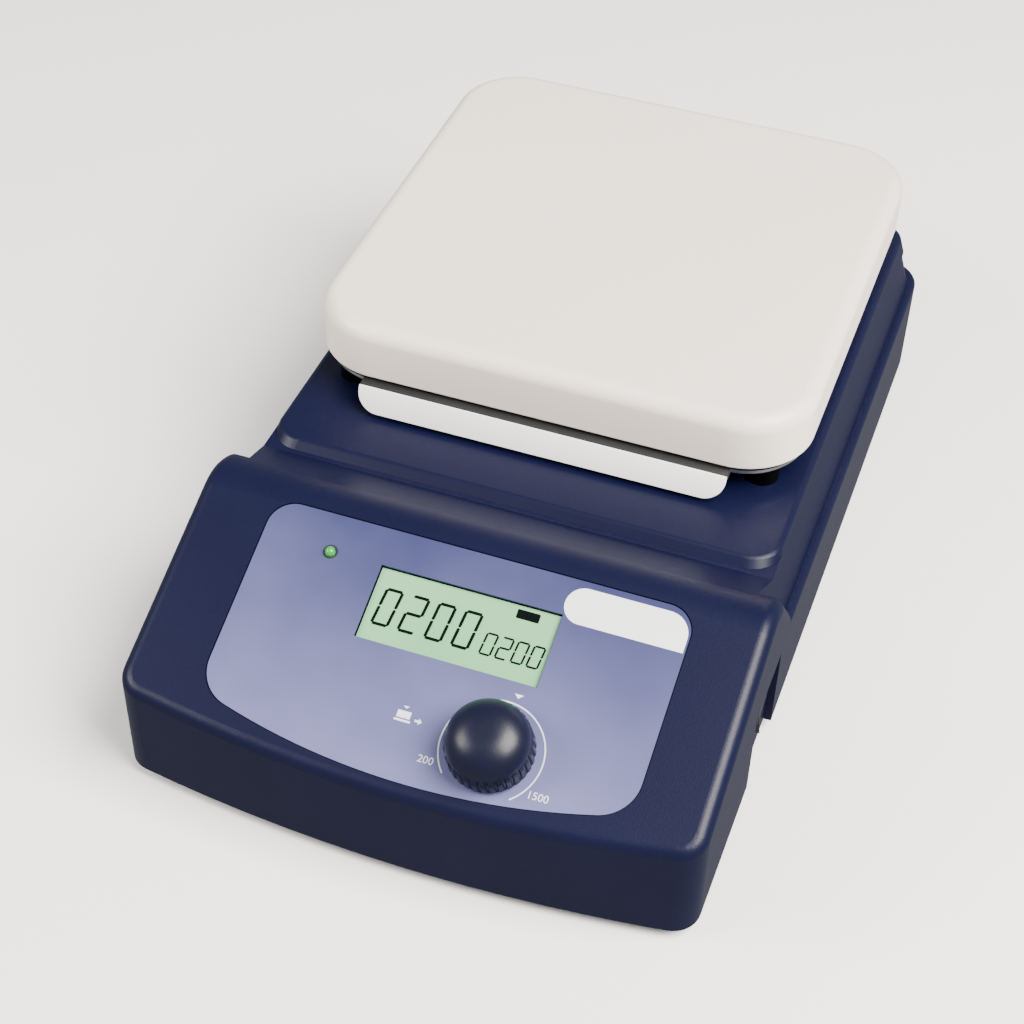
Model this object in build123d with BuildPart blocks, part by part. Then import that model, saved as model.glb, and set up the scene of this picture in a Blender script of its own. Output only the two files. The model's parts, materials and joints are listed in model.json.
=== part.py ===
"""Magnetic stirrer with a 150 mm square plate, in millimetres.

Pieces are drawn with Y = 0 at the front corners of the housing, and are written with the origin
on the table under the middle of the whole stirrer. +Y runs to the back, +Z is up.
"""

from build123d import *
import math
import os

os.makedirs("parts", exist_ok=True)

# Housing: plan
body_width = 166.0
body_depth = 266.0
front_bow = 7.0
front_corner_radius = 8.0
rear_corner_radius = 12.0
wall = 3.0

# Housing: heights above the table
foot_height = 4.0
shoulder_z = 37.5
deck_z = 56.5
deck_step = 2.4
head_front_z = 36.5
head_angle = 22.5
crest_y = 64.5
crest_radius = 16.0
valley_y = 84.5
head_back_y = 73.0
notch_foot_y = 91.0
head_edge_radius = 3.8

# Housing: upper rear tier
deck_inset = 7.0
shoulder_width = 2.4
platform_y = 88.5
platform_corner_radius = 9.0
deck_edge_radius = 1.8
shoulder_edge_radius = 1.5

# Top plate and its carrier
plate_size = 150.0
plate_corner_radius = 21.0
plate_y = 185.5
plate_skirt = 17.5
plate_top_thickness = 6.0
plate_skirt_wall = 3.0
plate_edge_radius = 4.5
plate_gap = 10.0
carrier_sheet = 1.2
carrier_flange_inset = 4.5
carrier_flange_width = 14.5
carrier_flange_above_deck = 7.0
carrier_corner_radius = 16.0
lip_height = 6.6
lip_corner_radius = 6.5
lip_reach = 6.0
standoff_inset = 11.0
standoff_height = 3.0
post_inset = 7.5
rotor_opening_inset = 7.0

# Control panel, in the sloped plane of the head
panel_width = 123.0
panel_x = 1.2
panel_top = 64.2
panel_bottom = 5.2
panel_bow = 9.4
panel_top_radius = 8.0
panel_bottom_radius = 12.0
panel_recess = 0.7
panel_film = 0.5
panel_clearance = 0.35
lcd_width = 52.4
lcd_height = 21.7
lcd_x = 1.8
lcd_s = 42.2
lcd_depth = 1.4
glass_clearance = 0.3
glass_thickness = 2.8
light_guide_border = 3.0
light_guide_rim = 1.5
lamp_x = -39.5
lamp_s = 52.6
lamp_diameter = 3.0

# Knob and encoder
knob_x = 22.2
knob_s = 11.4
knob_diameter = 24.0
knob_top_diameter = 21.5
knob_height = 14.0
knob_gap = 1.0
knob_travel = 0.5
knob_flutes = 32
knob_flute_radius = 0.8
shaft_diameter = 6.0
shaft_clearance = 0.05
plunger_height = 1.0
plunger_play = 0.03
bushing_diameter = 9.0
encoder_side = 13.0
encoder_height = 7.0
board_thickness = 1.6
display_board_width = 116.0
display_board_length = 58.0
display_board_s = 34.0
board_boss_reach = 53.0
board_boss_low_s = 14.0
board_boss_high_s = 58.0

# Power switch in the right wall
switch_y = 65.0
switch_z = 22.0
switch_length = 14.0
switch_width = 9.6
switch_bezel = 0.6
switch_depth = 12.0
rocker_clearance = 0.4
rocker_end_clearance = 0.8
rocker_tilt = 8.0
pocket_depth = 2.2
pocket_front_y = 53.0
pocket_back_y = 79.0
pocket_top_z = 32.5

# Drive
motor_diameter = 58.0
motor_height = 28.0
motor_bottom_z = 13.0
motor_shell = 1.5
motor_thread = 5.0
core_diameter = 50.0
core_bore = 24.0
drive_shaft_diameter = 6.0
bearing_diameter = 17.0
bearing_width = 6.0
bracket_sheet = 2.0
bracket_length = 104.0
bracket_width = 70.0
grommet_height = 3.0
bracket_hole_inset = 7.0
holder_inset = 14.0
holder_width = 22.0
holder_height = 7.0
magnet_diameter = 18.0
magnet_height = 14.0
magnet_inset = 12.0
rotor_gap = 1.6

# Mains inlet in the rear wall
inlet_x = -36.0
inlet_width = 60.0
inlet_height = 26.0
inlet_flange = 2.5
socket_width = 24.4
socket_height = 16.8
socket_depth = 15.5
drawer_width = 11.0
drawer_height = 16.8
drawer_length = 24.0
drawer_clearance = 0.2
inlet_border_x = 8.0
inlet_border_z = 2.0
inlet_fit = 0.5
inlet_screw_inset = 4.0
drawer_wall = 2.6
socket_u = -5.5
socket_corner_cut = 4.5
contact_pitch = 7.0
contact_offset = 2.0
contact_thickness = 2.0
contact_height = 4.0
contact_setback = 3.5
contact_tail = 16.0
inlet_back = 10.0
fuse_diameter = 5.2
fuse_length = 17.0

# Base, boards and fasteners
base_thickness = 2.5
base_clearance = 0.3
boss_diameter = 10.0
foot_diameter = 16.0
screw_diameter = 3.0
screw_play = 0.4
screw_head_diameter = 5.6
screw_head_height = 2.0
low_head_height = 1.6
small_boss_diameter = 7.0
base_boss_inset = 7.0
base_boss_setback = 19.0
base_screw_length = 12.0
base_screw_seat = 1.5
foot_inset_x = 19.0
foot_inset_y = 31.0
foot_taper = 1.2
foot_web = 1.6
vent_count = 9
vent_pitch = 9.0
vent_length = 36.0
vent_width = 3.2
rating_plate_y = 62.0
rating_plate_width = 64.0
rating_plate_depth = 38.0
rating_plate_thickness = 0.3
supply_board_width = 118.0
supply_board_depth = 52.0
supply_board_y = 112.0
supply_standoff = 6.0
board_hole_inset = 5.0
board_corner_radius = 2.0
wire_diameter = 2.6

# Heights and planes that follow from the values above
half_width = body_width / 2
slope = math.tan(math.radians(head_angle))
crest_z = head_front_z + slope * crest_y
ledge_z = deck_z - deck_step
base_top_z = foot_height + base_thickness
plate_bottom_z = deck_z + plate_gap
plate_top_z = plate_bottom_z + plate_skirt
plate_under_z = plate_top_z - plate_top_thickness
flange_z = deck_z + carrier_flange_above_deck
carrier_flange_size = plate_size - 2 * carrier_flange_inset
carrier_hat_size = carrier_flange_size - 2 * carrier_flange_width
lip_width = carrier_hat_size
standoff_pitch = carrier_hat_size - 2 * standoff_inset
post_pitch = carrier_flange_size - 2 * post_inset
rotor_opening = carrier_hat_size - 2 * rotor_opening_inset
holder_length = carrier_hat_size - 2 * holder_inset
magnet_pitch = holder_length - 2 * magnet_inset
hat_top_z = plate_under_z - standoff_height
tier_slope = (deck_inset - shoulder_width) / (deck_z - shoulder_z)
crest_back_slope = (crest_z - ledge_z) / (valley_y - crest_y)
panel_plane = Plane(
    origin=(0, 0, head_front_z),
    x_dir=(1, 0, 0),
    z_dir=(0, -math.sin(math.radians(head_angle)), math.cos(math.radians(head_angle))),
)
switch_along = Vector(0, math.cos(math.radians(head_angle)), math.sin(math.radians(head_angle)))
switch_across = Vector(0, -math.sin(math.radians(head_angle)), math.cos(math.radians(head_angle)))
switch_origin = Vector(half_width - pocket_depth + switch_bezel, switch_y, switch_z)
switch_plane = Plane(origin=switch_origin, x_dir=switch_along, z_dir=(1, 0, 0))
rocker_plane = Plane(origin=switch_origin, x_dir=switch_along, z_dir=switch_across)
motor_top_z = motor_bottom_z + motor_height
holder_z = hat_top_z - carrier_sheet - rotor_gap - magnet_height - holder_height / 3
inlet_z = (shoulder_z - wall + base_top_z) / 2 + 0.5
middle_y = (body_depth + inlet_flange + low_head_height - front_bow) / 2
inlet_screw_u = inlet_width / 2 - inlet_screw_inset
board_h = -wall - encoder_height
flat = (Align.CENTER, Align.CENTER, Align.MIN)
hanging = (Align.CENTER, Align.CENTER, Align.MAX)


def finish(piece, label):
    """Move a finished piece to the origin under the stirrer's middle, name it and write its STEP."""
    piece.part = Pos(0, -middle_y, 0) * piece.part
    piece.part.label = label
    export_step(piece.part, f"parts/{label}.step")


def corners(pitch_x, pitch_y, centre_y, z=0.0):
    """Four points of a rectangle centred on X = 0."""
    places = []
    for sign_x in (-1, 1):
        for sign_y in (-1, 1):
            places.append((sign_x * pitch_x / 2, centre_y + sign_y * pitch_y / 2, z))
    return places


# ---------------------------------------------------------------- housing shell
def housing_outline(inset):
    """Plan of the housing: straight sides, bowed front, rounded corners."""
    half = half_width - inset
    with BuildSketch() as outline:
        with BuildLine():
            Polyline((half, inset), (half, body_depth - inset), (-half, body_depth - inset), (-half, inset))
            ThreePointArc((-half, inset), (0, inset - front_bow), (half, inset))
        make_face()
        fillet(outline.vertices().group_by(Axis.Y)[-1], rear_corner_radius - inset)
        fillet(outline.vertices().group_by(Axis.Y)[0], front_corner_radius - inset)
    return outline.sketch


def rear_plan(half, corner, front):
    """Rounded rectangle of the rear tier at one level, the same inset at both sides and the back."""
    back = body_depth - (half_width - half)
    with BuildSketch() as plan:
        with Locations((0, (front + back) / 2)):
            RectangleRounded(2 * half, back - front, corner)
    return plan.sketch


def tier_half(z, inset):
    """Half width of the rear tier at a height."""
    return half_width - inset - shoulder_width - (z - shoulder_z) * tier_slope


def head_block(inset):
    """Sloped head over the full width, ending in the steep notch behind its crest."""
    low = head_front_z - inset
    reach = 2 * front_bow
    notch_z = crest_z - inset - (head_back_y - crest_y) * crest_back_slope
    with BuildPart() as head:
        with BuildSketch(Plane.XY.offset(foot_height)):
            add(housing_outline(inset))
        extrude(amount=2 * crest_z)
        with BuildSketch(Plane.YZ) as side:
            with BuildLine():
                Polyline(
                    (-reach, 0),
                    (-reach, low - slope * reach),
                    (crest_y, crest_z - inset),
                    (head_back_y - inset, notch_z),
                    (notch_foot_y - inset, shoulder_z - inset),
                    (notch_foot_y - inset, 0),
                    close=True,
                )
            make_face()
            fillet(side.vertices().sort_by(Axis.Y)[-1], crest_radius - 2 * inset)
        extrude(amount=half_width, both=True, mode=Mode.INTERSECT)
        if inset == 0:
            rim = []
            for edge in head.edges():
                along = edge.tangent_at(0.5)
                level = edge.center().Z
                if level > shoulder_z / 2 and abs(along.Z) < 0.98:
                    if abs(along.X) < 0.5 or edge.center().Y < 0:
                        rim.append(edge)
            fillet(rim, head_edge_radius)
    return head.part


def rear_block(inset):
    """Rear tier with its ledge and the saddle that falls from the crest to the ledge."""
    top = crest_z + wall
    with BuildPart() as tier:
        for z in (shoulder_z - wall, top):
            with BuildSketch(Plane.XY.offset(z)):
                add(rear_plan(tier_half(z, inset), rear_corner_radius - inset, crest_y - 30 + inset))
        loft()
        with BuildSketch(Plane.YZ) as side:
            with BuildLine():
                Polyline(
                    (crest_y - 30, 0),
                    (crest_y - 30, crest_z - inset - 30 * slope),
                    (crest_y, crest_z - inset),
                    (valley_y, ledge_z - inset),
                    (body_depth, ledge_z - inset),
                    (body_depth, 0),
                    close=True,
                )
            make_face()
            fillet(side.vertices().sort_by(Axis.Y)[-1], crest_radius - 2 * inset)
        extrude(amount=half_width, both=True, mode=Mode.INTERSECT)
    return tier.part


def platform_block(inset):
    """Deck platform that stands one step above the ledge."""
    with BuildPart() as platform:
        for z in (ledge_z - wall - 1, deck_z - inset):
            with BuildSketch(Plane.XY.offset(z)):
                front = platform_y + inset + z - deck_z
                add(rear_plan(tier_half(z, inset), platform_corner_radius, front))
        loft()
        if inset == 0:
            fillet(platform.faces().sort_by(Axis.Z)[-1].edges(), deck_edge_radius)
    return platform.part


def lower_block(inset):
    """Full-width lower part of the housing, from behind the panel to the back."""
    with BuildPart() as lower:
        with BuildSketch(Plane.XY.offset(foot_height)):
            add(housing_outline(inset))
            with Locations((0, 0)):
                Rectangle(body_width, crest_y, mode=Mode.SUBTRACT)
        extrude(amount=shoulder_z - inset - foot_height)
        if inset == 0:
            rim = lower.faces().sort_by(Axis.Z)[-1].edges()
            fillet(rim.sort_by(Axis.Y)[1:], shoulder_edge_radius)
    return lower.part


def inner_block(inset):
    """The housing's solid shape without its platform, made smaller all round by an inset."""
    with BuildPart() as inner:
        add(lower_block(inset))
        add(head_block(inset))
        add(rear_block(inset))
    return inner.part


def panel_outline(shrink):
    """Outline of the control panel in the plane of the head: bowed bottom edge, rounded corners."""
    half = panel_width / 2 - shrink
    top = panel_top - shrink
    bottom = panel_bottom + shrink
    with BuildSketch() as outline:
        with BuildLine():
            Polyline((half, bottom), (half, top), (-half, top), (-half, bottom))
            ThreePointArc((-half, bottom), (0, bottom - panel_bow), (half, bottom))
        make_face()
        fillet(outline.vertices().group_by(Axis.Y)[-1], panel_top_radius - shrink)
        fillet(outline.vertices().group_by(Axis.Y)[0], panel_bottom_radius - shrink)
    return Pos(panel_x, 0) * outline.sketch


base_boss_pitch_x = body_width - 2 * base_boss_inset
base_boss_pitch_y = body_depth - 2 * base_boss_setback
base_boss_places = corners(base_boss_pitch_x, base_boss_pitch_y, body_depth / 2, foot_height)
board_boss_places = []
for boss_x in (lcd_x - board_boss_reach, lcd_x + board_boss_reach):
    for boss_s in (board_boss_low_s, board_boss_high_s):
        board_boss_places.append((boss_x, boss_s, 0))
post_places = corners(post_pitch, post_pitch, plate_y)

with BuildPart() as housing_bosses:
    # screw bosses for the base and for the sloped display board, running half way into the wall
    with BuildSketch(Plane.XY.offset(base_top_z)):
        with Locations(*[(x, y) for x, y, z in base_boss_places]):
            Circle(boss_diameter / 2)
    extrude(amount=crest_z)
    with BuildSketch(panel_plane.offset(board_h)):
        with Locations(*[(x, s) for x, s, h in board_boss_places]):
            Circle(small_boss_diameter / 2)
    extrude(amount=-board_h)
    add(inner_block(wall / 2), mode=Mode.INTERSECT)

with BuildPart() as upper_housing:
    add(lower_block(0))
    add(head_block(0))
    add(rear_block(0))
    add(platform_block(0))
    add(inner_block(wall), mode=Mode.SUBTRACT)
    add(housing_bosses.part)
    with Locations(*base_boss_places):
        Cylinder(screw_diameter / 2, 2 * boss_diameter, align=flat, mode=Mode.SUBTRACT)
    with BuildSketch(panel_plane.offset(board_h)):
        with Locations(*[(x, s) for x, s, h in board_boss_places]):
            Circle(screw_diameter / 2)
    extrude(amount=encoder_height - 1, mode=Mode.SUBTRACT)
    # control panel: shallow recess, display window, lamp hole, encoder hole
    with BuildSketch(panel_plane):
        add(panel_outline(0))
    extrude(amount=-panel_recess, mode=Mode.SUBTRACT)
    with BuildSketch(panel_plane):
        with Locations((lcd_x, lcd_s)):
            Rectangle(lcd_width, lcd_height)
        with Locations((lamp_x, lamp_s)):
            Circle(lamp_diameter / 2 + screw_play / 2)
        with Locations((knob_x, knob_s)):
            Circle(bushing_diameter / 2)
    extrude(amount=-2 * wall, mode=Mode.SUBTRACT)
    # rotor opening in the deck and holes for the carrier screws
    with BuildSketch(Plane.XY.offset(deck_z)):
        with Locations((0, plate_y)):
            Circle(rotor_opening / 2)
        with Locations(*[(x, y) for x, y, z in post_places]):
            Circle(screw_diameter / 2)
    extrude(amount=-3 * wall, mode=Mode.SUBTRACT)
    # side pocket of one depth, open to the bottom, with the cut-out for the power switch
    with BuildSketch(Plane.XY.offset(foot_height)):
        with BuildLine():
            Polyline(
                (half_width + wall, pocket_front_y),
                (half_width - pocket_depth, pocket_front_y),
                (half_width - pocket_depth, pocket_back_y),
                (half_width + wall, pocket_back_y),
                close=True,
            )
        make_face()
    extrude(amount=pocket_top_z - foot_height, mode=Mode.SUBTRACT)
    with BuildSketch(switch_plane):
        Rectangle(switch_length + 2 * screw_play, switch_width + 2 * screw_play)
    extrude(amount=2 * wall, both=True, mode=Mode.SUBTRACT)
    # cut-out for the mains inlet in the rear wall
    with BuildSketch(Plane.XZ.offset(-body_depth)):
        with Locations((inlet_x, inlet_z)):
            Rectangle(inlet_width - 2 * inlet_border_x, inlet_height - 2 * inlet_border_z)
        with Locations((inlet_x - inlet_screw_u, inlet_z), (inlet_x + inlet_screw_u, inlet_z)):
            Circle(screw_diameter / 2)
    extrude(amount=2 * wall, mode=Mode.SUBTRACT)
finish(upper_housing, "upper_housing")

# ---------------------------------------------------------------- base and feet
foot_places = corners(body_width - 2 * foot_inset_x, body_depth - 2 * foot_inset_y, body_depth / 2)
grommet_pitch_x = bracket_length - 2 * bracket_hole_inset
grommet_pitch_y = bracket_width - 2 * bracket_hole_inset
grommet_places = corners(grommet_pitch_x, grommet_pitch_y, plate_y)
standoff_pitch_x = supply_board_width - 2 * board_hole_inset
standoff_pitch_y = supply_board_depth - 2 * board_hole_inset
supply_standoff_places = corners(standoff_pitch_x, standoff_pitch_y, supply_board_y)

with BuildPart() as base_plate:
    with BuildSketch(Plane.XY.offset(foot_height)):
        add(housing_outline(wall + base_clearance))
        with Locations(*[(x, y) for x, y, z in base_boss_places]):
            Circle((screw_diameter + screw_play) / 2, mode=Mode.SUBTRACT)
        with Locations(*[(x, y) for x, y, z in foot_places + grommet_places + supply_standoff_places]):
            Circle(screw_diameter / 2, mode=Mode.SUBTRACT)
        with GridLocations(vent_pitch, vent_pitch, vent_count, 1):
            with Locations((0, plate_y)):
                SlotOverall(vent_length, vent_width, rotation=90, mode=Mode.SUBTRACT)
    extrude(amount=base_thickness)
    with Locations(*[(x, y, foot_height) for x, y, z in base_boss_places]):
        Cylinder(screw_head_diameter / 2 + screw_play, base_screw_seat, align=flat, mode=Mode.SUBTRACT)
finish(base_plate, "base_plate")

with BuildPart() as base_screws:
    head_z = foot_height + base_screw_seat - screw_head_height / 2
    with Locations(*[(x, y, head_z) for x, y, z in base_boss_places]):
        Cylinder(screw_head_diameter / 2, screw_head_height / 2, align=flat)
        Cylinder(screw_diameter / 2, base_screw_length, align=flat)
    with Locations(*[(x, y, head_z) for x, y, z in base_boss_places]):
        Box(3.2, 0.8, 0.7, align=flat, mode=Mode.SUBTRACT)
finish(base_screws, "base_screws")

with BuildPart() as rubber_feet:
    with Locations(*[(x, y, foot_height) for x, y, z in foot_places]):
        Cone(foot_diameter / 2 - foot_taper, foot_diameter / 2, foot_height, align=hanging)
        Cylinder((screw_diameter + screw_play) / 2, foot_height, align=hanging, mode=Mode.SUBTRACT)
    with Locations(*foot_places):
        head_room = foot_height - foot_web
        Cylinder(screw_head_diameter / 2 + screw_play, head_room, align=flat, mode=Mode.SUBTRACT)
finish(rubber_feet, "rubber_feet")

with BuildPart() as foot_screws:
    with Locations(*[(x, y, foot_height - foot_web) for x, y, z in foot_places]):
        Cylinder(screw_head_diameter / 2, low_head_height, align=hanging)
        Cylinder(screw_diameter / 2, foot_web + base_thickness, align=flat)
finish(foot_screws, "foot_screws")

with BuildPart() as rating_plate:
    with BuildSketch(Plane.XY.offset(foot_height)):
        with Locations((0, rating_plate_y)):
            RectangleRounded(rating_plate_width, rating_plate_depth, board_corner_radius)
    extrude(amount=-rating_plate_thickness)
finish(rating_plate, "rating_plate")

# ---------------------------------------------------------------- plate, seal and carrier
plate_half = plate_size / 2
flange_half = carrier_flange_size / 2
standoff_places = corners(standoff_pitch, standoff_pitch, plate_y)

with BuildPart() as top_plate:
    with BuildSketch(Plane.XY.offset(plate_bottom_z)):
        with Locations((0, plate_y)):
            RectangleRounded(plate_size, plate_size, plate_corner_radius)
    extrude(amount=plate_skirt)
    fillet(top_plate.faces().sort_by(Axis.Z)[-1].edges(), plate_edge_radius)
    fillet(top_plate.faces().sort_by(Axis.Z)[0].edges(), 0.8)
    with BuildSketch(Plane.XY.offset(plate_bottom_z)):
        with Locations((0, plate_y)):
            inner = plate_size - 2 * plate_skirt_wall
            RectangleRounded(inner, inner, plate_corner_radius - plate_skirt_wall)
    extrude(amount=plate_skirt - plate_top_thickness, mode=Mode.SUBTRACT)
    with Locations(*[(x, y, plate_under_z) for x, y, z in standoff_places]):
        Cylinder(screw_diameter / 2, plate_top_thickness - 2, align=flat, mode=Mode.SUBTRACT)
finish(top_plate, "top_plate")

with BuildPart() as plate_carrier:
    # stamped sheet: raised hat under the plate, flange around it
    with BuildSketch(Plane.XY.offset(flange_z)):
        with Locations((0, plate_y)):
            RectangleRounded(carrier_flange_size, carrier_flange_size, carrier_corner_radius)
    extrude(amount=carrier_sheet)
    with BuildSketch(Plane.XY.offset(flange_z)):
        with Locations((0, plate_y)):
            RectangleRounded(carrier_hat_size, carrier_hat_size, carrier_corner_radius / 2)
    extrude(amount=hat_top_z - flange_z)
    fillet(plate_carrier.faces().sort_by(Axis.Z)[-1].edges(), 2 * carrier_sheet)
    with BuildSketch(Plane.XY.offset(flange_z)):
        with Locations((0, plate_y)):
            inner = carrier_hat_size - 2 * carrier_sheet
            RectangleRounded(inner, inner, carrier_corner_radius / 2 - carrier_sheet)
    extrude(amount=hat_top_z - flange_z - carrier_sheet, mode=Mode.SUBTRACT)
    # front lip: a tab that reaches forward under the skirt and turns down
    lip_back_y = plate_y - flange_half
    lip_front_y = lip_back_y - lip_reach + carrier_sheet
    with BuildSketch(Plane.XY.offset(flange_z)):
        with Locations((0, lip_back_y - lip_reach / 2 + carrier_sheet)):
            Rectangle(lip_width, lip_reach + carrier_sheet)
    extrude(amount=carrier_sheet)
    with BuildSketch(Plane.XZ.offset(-lip_front_y + carrier_sheet / 2)) as lip:
        with Locations((0, flange_z + carrier_sheet - lip_height / 2)):
            Rectangle(lip_width, lip_height)
        fillet(lip.vertices().group_by(Axis.Y)[0], lip_corner_radius)
    extrude(amount=carrier_sheet)
    with BuildSketch(Plane.XY.offset(flange_z)):
        with Locations(*[(x, y) for x, y, z in post_places]):
            Circle((screw_diameter + screw_play) / 2)
    extrude(amount=carrier_sheet, mode=Mode.SUBTRACT)
    with BuildSketch(Plane.XY.offset(hat_top_z)):
        with Locations(*[(x, y) for x, y, z in standoff_places]):
            Circle((screw_diameter + screw_play) / 2)
    extrude(amount=-carrier_sheet, mode=Mode.SUBTRACT)
finish(plate_carrier, "plate_carrier")

with BuildPart() as plate_gasket:
    with BuildSketch(Plane.XY.offset(flange_z + carrier_sheet)):
        with Locations((0, plate_y)):
            outer = carrier_flange_size - 2.0
            inner = carrier_hat_size + 2.0
            RectangleRounded(outer, outer, carrier_corner_radius - 1.0)
            RectangleRounded(inner, inner, carrier_corner_radius / 2 + 1.0, mode=Mode.SUBTRACT)
        with Locations(*[(x, y) for x, y, z in post_places]):
            Circle(screw_head_diameter / 2 + screw_play, mode=Mode.SUBTRACT)
    extrude(amount=plate_bottom_z - flange_z + 1.0)
finish(plate_gasket, "plate_gasket")

with BuildPart() as carrier_posts:
    with Locations(*[(x, y, deck_z) for x, y, z in post_places]):
        Cylinder(5.0, carrier_flange_above_deck, align=flat)
        Cylinder((screw_diameter + screw_play) / 2, carrier_flange_above_deck, align=flat, mode=Mode.SUBTRACT)
finish(carrier_posts, "carrier_posts")

with BuildPart() as carrier_screws:
    with Locations(*[(x, y, flange_z + carrier_sheet) for x, y, z in post_places]):
        Cylinder(screw_head_diameter / 2, screw_head_height, align=flat)
        Cylinder(screw_diameter / 2, carrier_sheet + carrier_flange_above_deck + wall, align=hanging)
finish(carrier_screws, "carrier_screws")

with BuildPart() as plate_standoffs:
    with Locations(*[(x, y, hat_top_z) for x, y, z in standoff_places]):
        Cylinder(5.0, standoff_height, align=flat)
        Cylinder((screw_diameter + screw_play) / 2, standoff_height, align=flat, mode=Mode.SUBTRACT)
finish(plate_standoffs, "plate_standoffs")

with BuildPart() as plate_screws:
    with Locations(*[(x, y, hat_top_z - carrier_sheet) for x, y, z in standoff_places]):
        Cylinder(screw_head_diameter / 2, screw_head_height, align=hanging)
        Cylinder(screw_diameter / 2, carrier_sheet + standoff_height + 3.5, align=flat)
finish(plate_screws, "plate_screws")

# ---------------------------------------------------------------- control panel
with BuildPart() as panel_overlay:
    with BuildSketch(panel_plane.offset(-panel_recess)):
        add(panel_outline(panel_clearance))
        with Locations((lcd_x, lcd_s)):
            Rectangle(lcd_width, lcd_height, mode=Mode.SUBTRACT)
        with Locations((lamp_x, lamp_s)):
            Circle(lamp_diameter / 2 + screw_play / 2, mode=Mode.SUBTRACT)
        with Locations((knob_x, knob_s)):
            Circle(bushing_diameter / 2 + 2.5, mode=Mode.SUBTRACT)
    extrude(amount=panel_film)
finish(panel_overlay, "panel_overlay")

glass_width = lcd_width - 2 * glass_clearance
glass_height = lcd_height - 2 * glass_clearance
with BuildPart() as lcd_glass:
    with BuildSketch(panel_plane.offset(-lcd_depth - glass_thickness)):
        with Locations((lcd_x, lcd_s)):
            Rectangle(glass_width, glass_height)
    extrude(amount=glass_thickness)
finish(lcd_glass, "lcd_glass")

with BuildPart() as lcd_backlight:
    with BuildSketch(panel_plane.offset(board_h)):
        with Locations((lcd_x, lcd_s)):
            Rectangle(glass_width + 2 * light_guide_border, glass_height + 2 * light_guide_rim)
    extrude(amount=-lcd_depth - glass_thickness - board_h)
finish(lcd_backlight, "lcd_backlight")

with BuildPart() as lamp_lens:
    with BuildSketch(panel_plane.offset(board_h)):
        with Locations((lamp_x, lamp_s)):
            Circle(lamp_diameter / 2)
    extrude(amount=-board_h)
    with Locations(panel_plane.from_local_coords(Vector(lamp_x, lamp_s, 0))):
        Sphere(lamp_diameter / 2)
finish(lamp_lens, "lamp_lens")

with BuildPart() as display_board:
    with BuildSketch(panel_plane.offset(board_h - board_thickness)):
        with Locations((lcd_x, display_board_s)):
            RectangleRounded(display_board_width, display_board_length, board_corner_radius)
        with Locations(*[(x, s) for x, s, h in board_boss_places]):
            Circle((screw_diameter + screw_play) / 2, mode=Mode.SUBTRACT)
    extrude(amount=board_thickness)
finish(display_board, "display_board")

with BuildPart() as display_parts:
    with BuildSketch(panel_plane.offset(board_h - board_thickness)):
        with Locations((-20.0, 24.0)):
            Rectangle(14.0, 14.0)
        with Locations((22.0, 50.0)):
            Rectangle(20.0, 6.0)
        with GridLocations(7.0, 9.0, 4, 2):
            with Locations((10.0, 30.0)):
                Rectangle(3.2, 1.8)
    extrude(amount=-2.2)
finish(display_parts, "display_parts")

with BuildPart() as display_screws:
    for x, s, h in board_boss_places:
        with BuildSketch(panel_plane.offset(board_h - board_thickness)):
            with Locations((x, s)):
                Circle(screw_head_diameter / 2)
        extrude(amount=-screw_head_height)
        with BuildSketch(panel_plane.offset(board_h - board_thickness)):
            with Locations((x, s)):
                Circle(screw_diameter / 2)
        extrude(amount=board_thickness + encoder_height - 2)
finish(display_screws, "display_screws")

# ---------------------------------------------------------------- encoder and knob
shaft_foot_h = board_h + 2.0
bore_diameter = shaft_diameter + 2 * shaft_clearance
bushing_top_h = 4.6
knob_axis = Axis(panel_plane.from_local_coords(Vector(knob_x, knob_s, 0)), panel_plane.z_dir)


def on_knob_axis(h):
    """Plane square to the knob's axis at a height above the panel."""
    return Plane(
        origin=panel_plane.from_local_coords(Vector(knob_x, knob_s, h)),
        x_dir=(1, 0, 0),
        z_dir=panel_plane.z_dir,
    )


with BuildPart() as encoder_body:
    with BuildSketch(on_knob_axis(board_h)):
        Rectangle(encoder_side, encoder_side)
    extrude(amount=encoder_height)
    with BuildSketch(on_knob_axis(-wall)):
        Circle(bushing_diameter / 2)
    extrude(amount=wall + bushing_top_h)
    with BuildSketch(on_knob_axis(board_h + 0.4)):
        Circle(shaft_diameter / 2 + 1.2)
    extrude(amount=shaft_foot_h - board_h + 0.8, mode=Mode.SUBTRACT)
    with BuildSketch(on_knob_axis(board_h + 1.0)):
        Circle(bore_diameter / 2)
    extrude(amount=-board_h + bushing_top_h, mode=Mode.SUBTRACT)
finish(encoder_body, "encoder_body")

with BuildPart() as encoder_nut:
    with BuildSketch(on_knob_axis(-panel_recess)):
        Circle(bushing_diameter / 2 + 2.2)
        Circle(bushing_diameter / 2, mode=Mode.SUBTRACT)
    extrude(amount=0.8)
    with BuildSketch(on_knob_axis(-panel_recess + 0.8)):
        RegularPolygon(bushing_diameter / 2 + 2.2, 6, major_radius=True)
        Circle(bushing_diameter / 2, mode=Mode.SUBTRACT)
    extrude(amount=2.4)
finish(encoder_nut, "encoder_nut")

with BuildPart() as encoder_plunger:
    with BuildSketch(on_knob_axis(shaft_foot_h - plunger_height)):
        Circle(shaft_diameter / 2 - 0.2)
    extrude(amount=plunger_height - plunger_play)
finish(encoder_plunger, "encoder_plunger")

with BuildPart() as encoder_shaft:
    with BuildSketch(on_knob_axis(shaft_foot_h)):
        Circle(shaft_diameter / 2)
    extrude(amount=knob_height - 3.0 - shaft_foot_h)
finish(encoder_shaft, "encoder_shaft")

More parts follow.
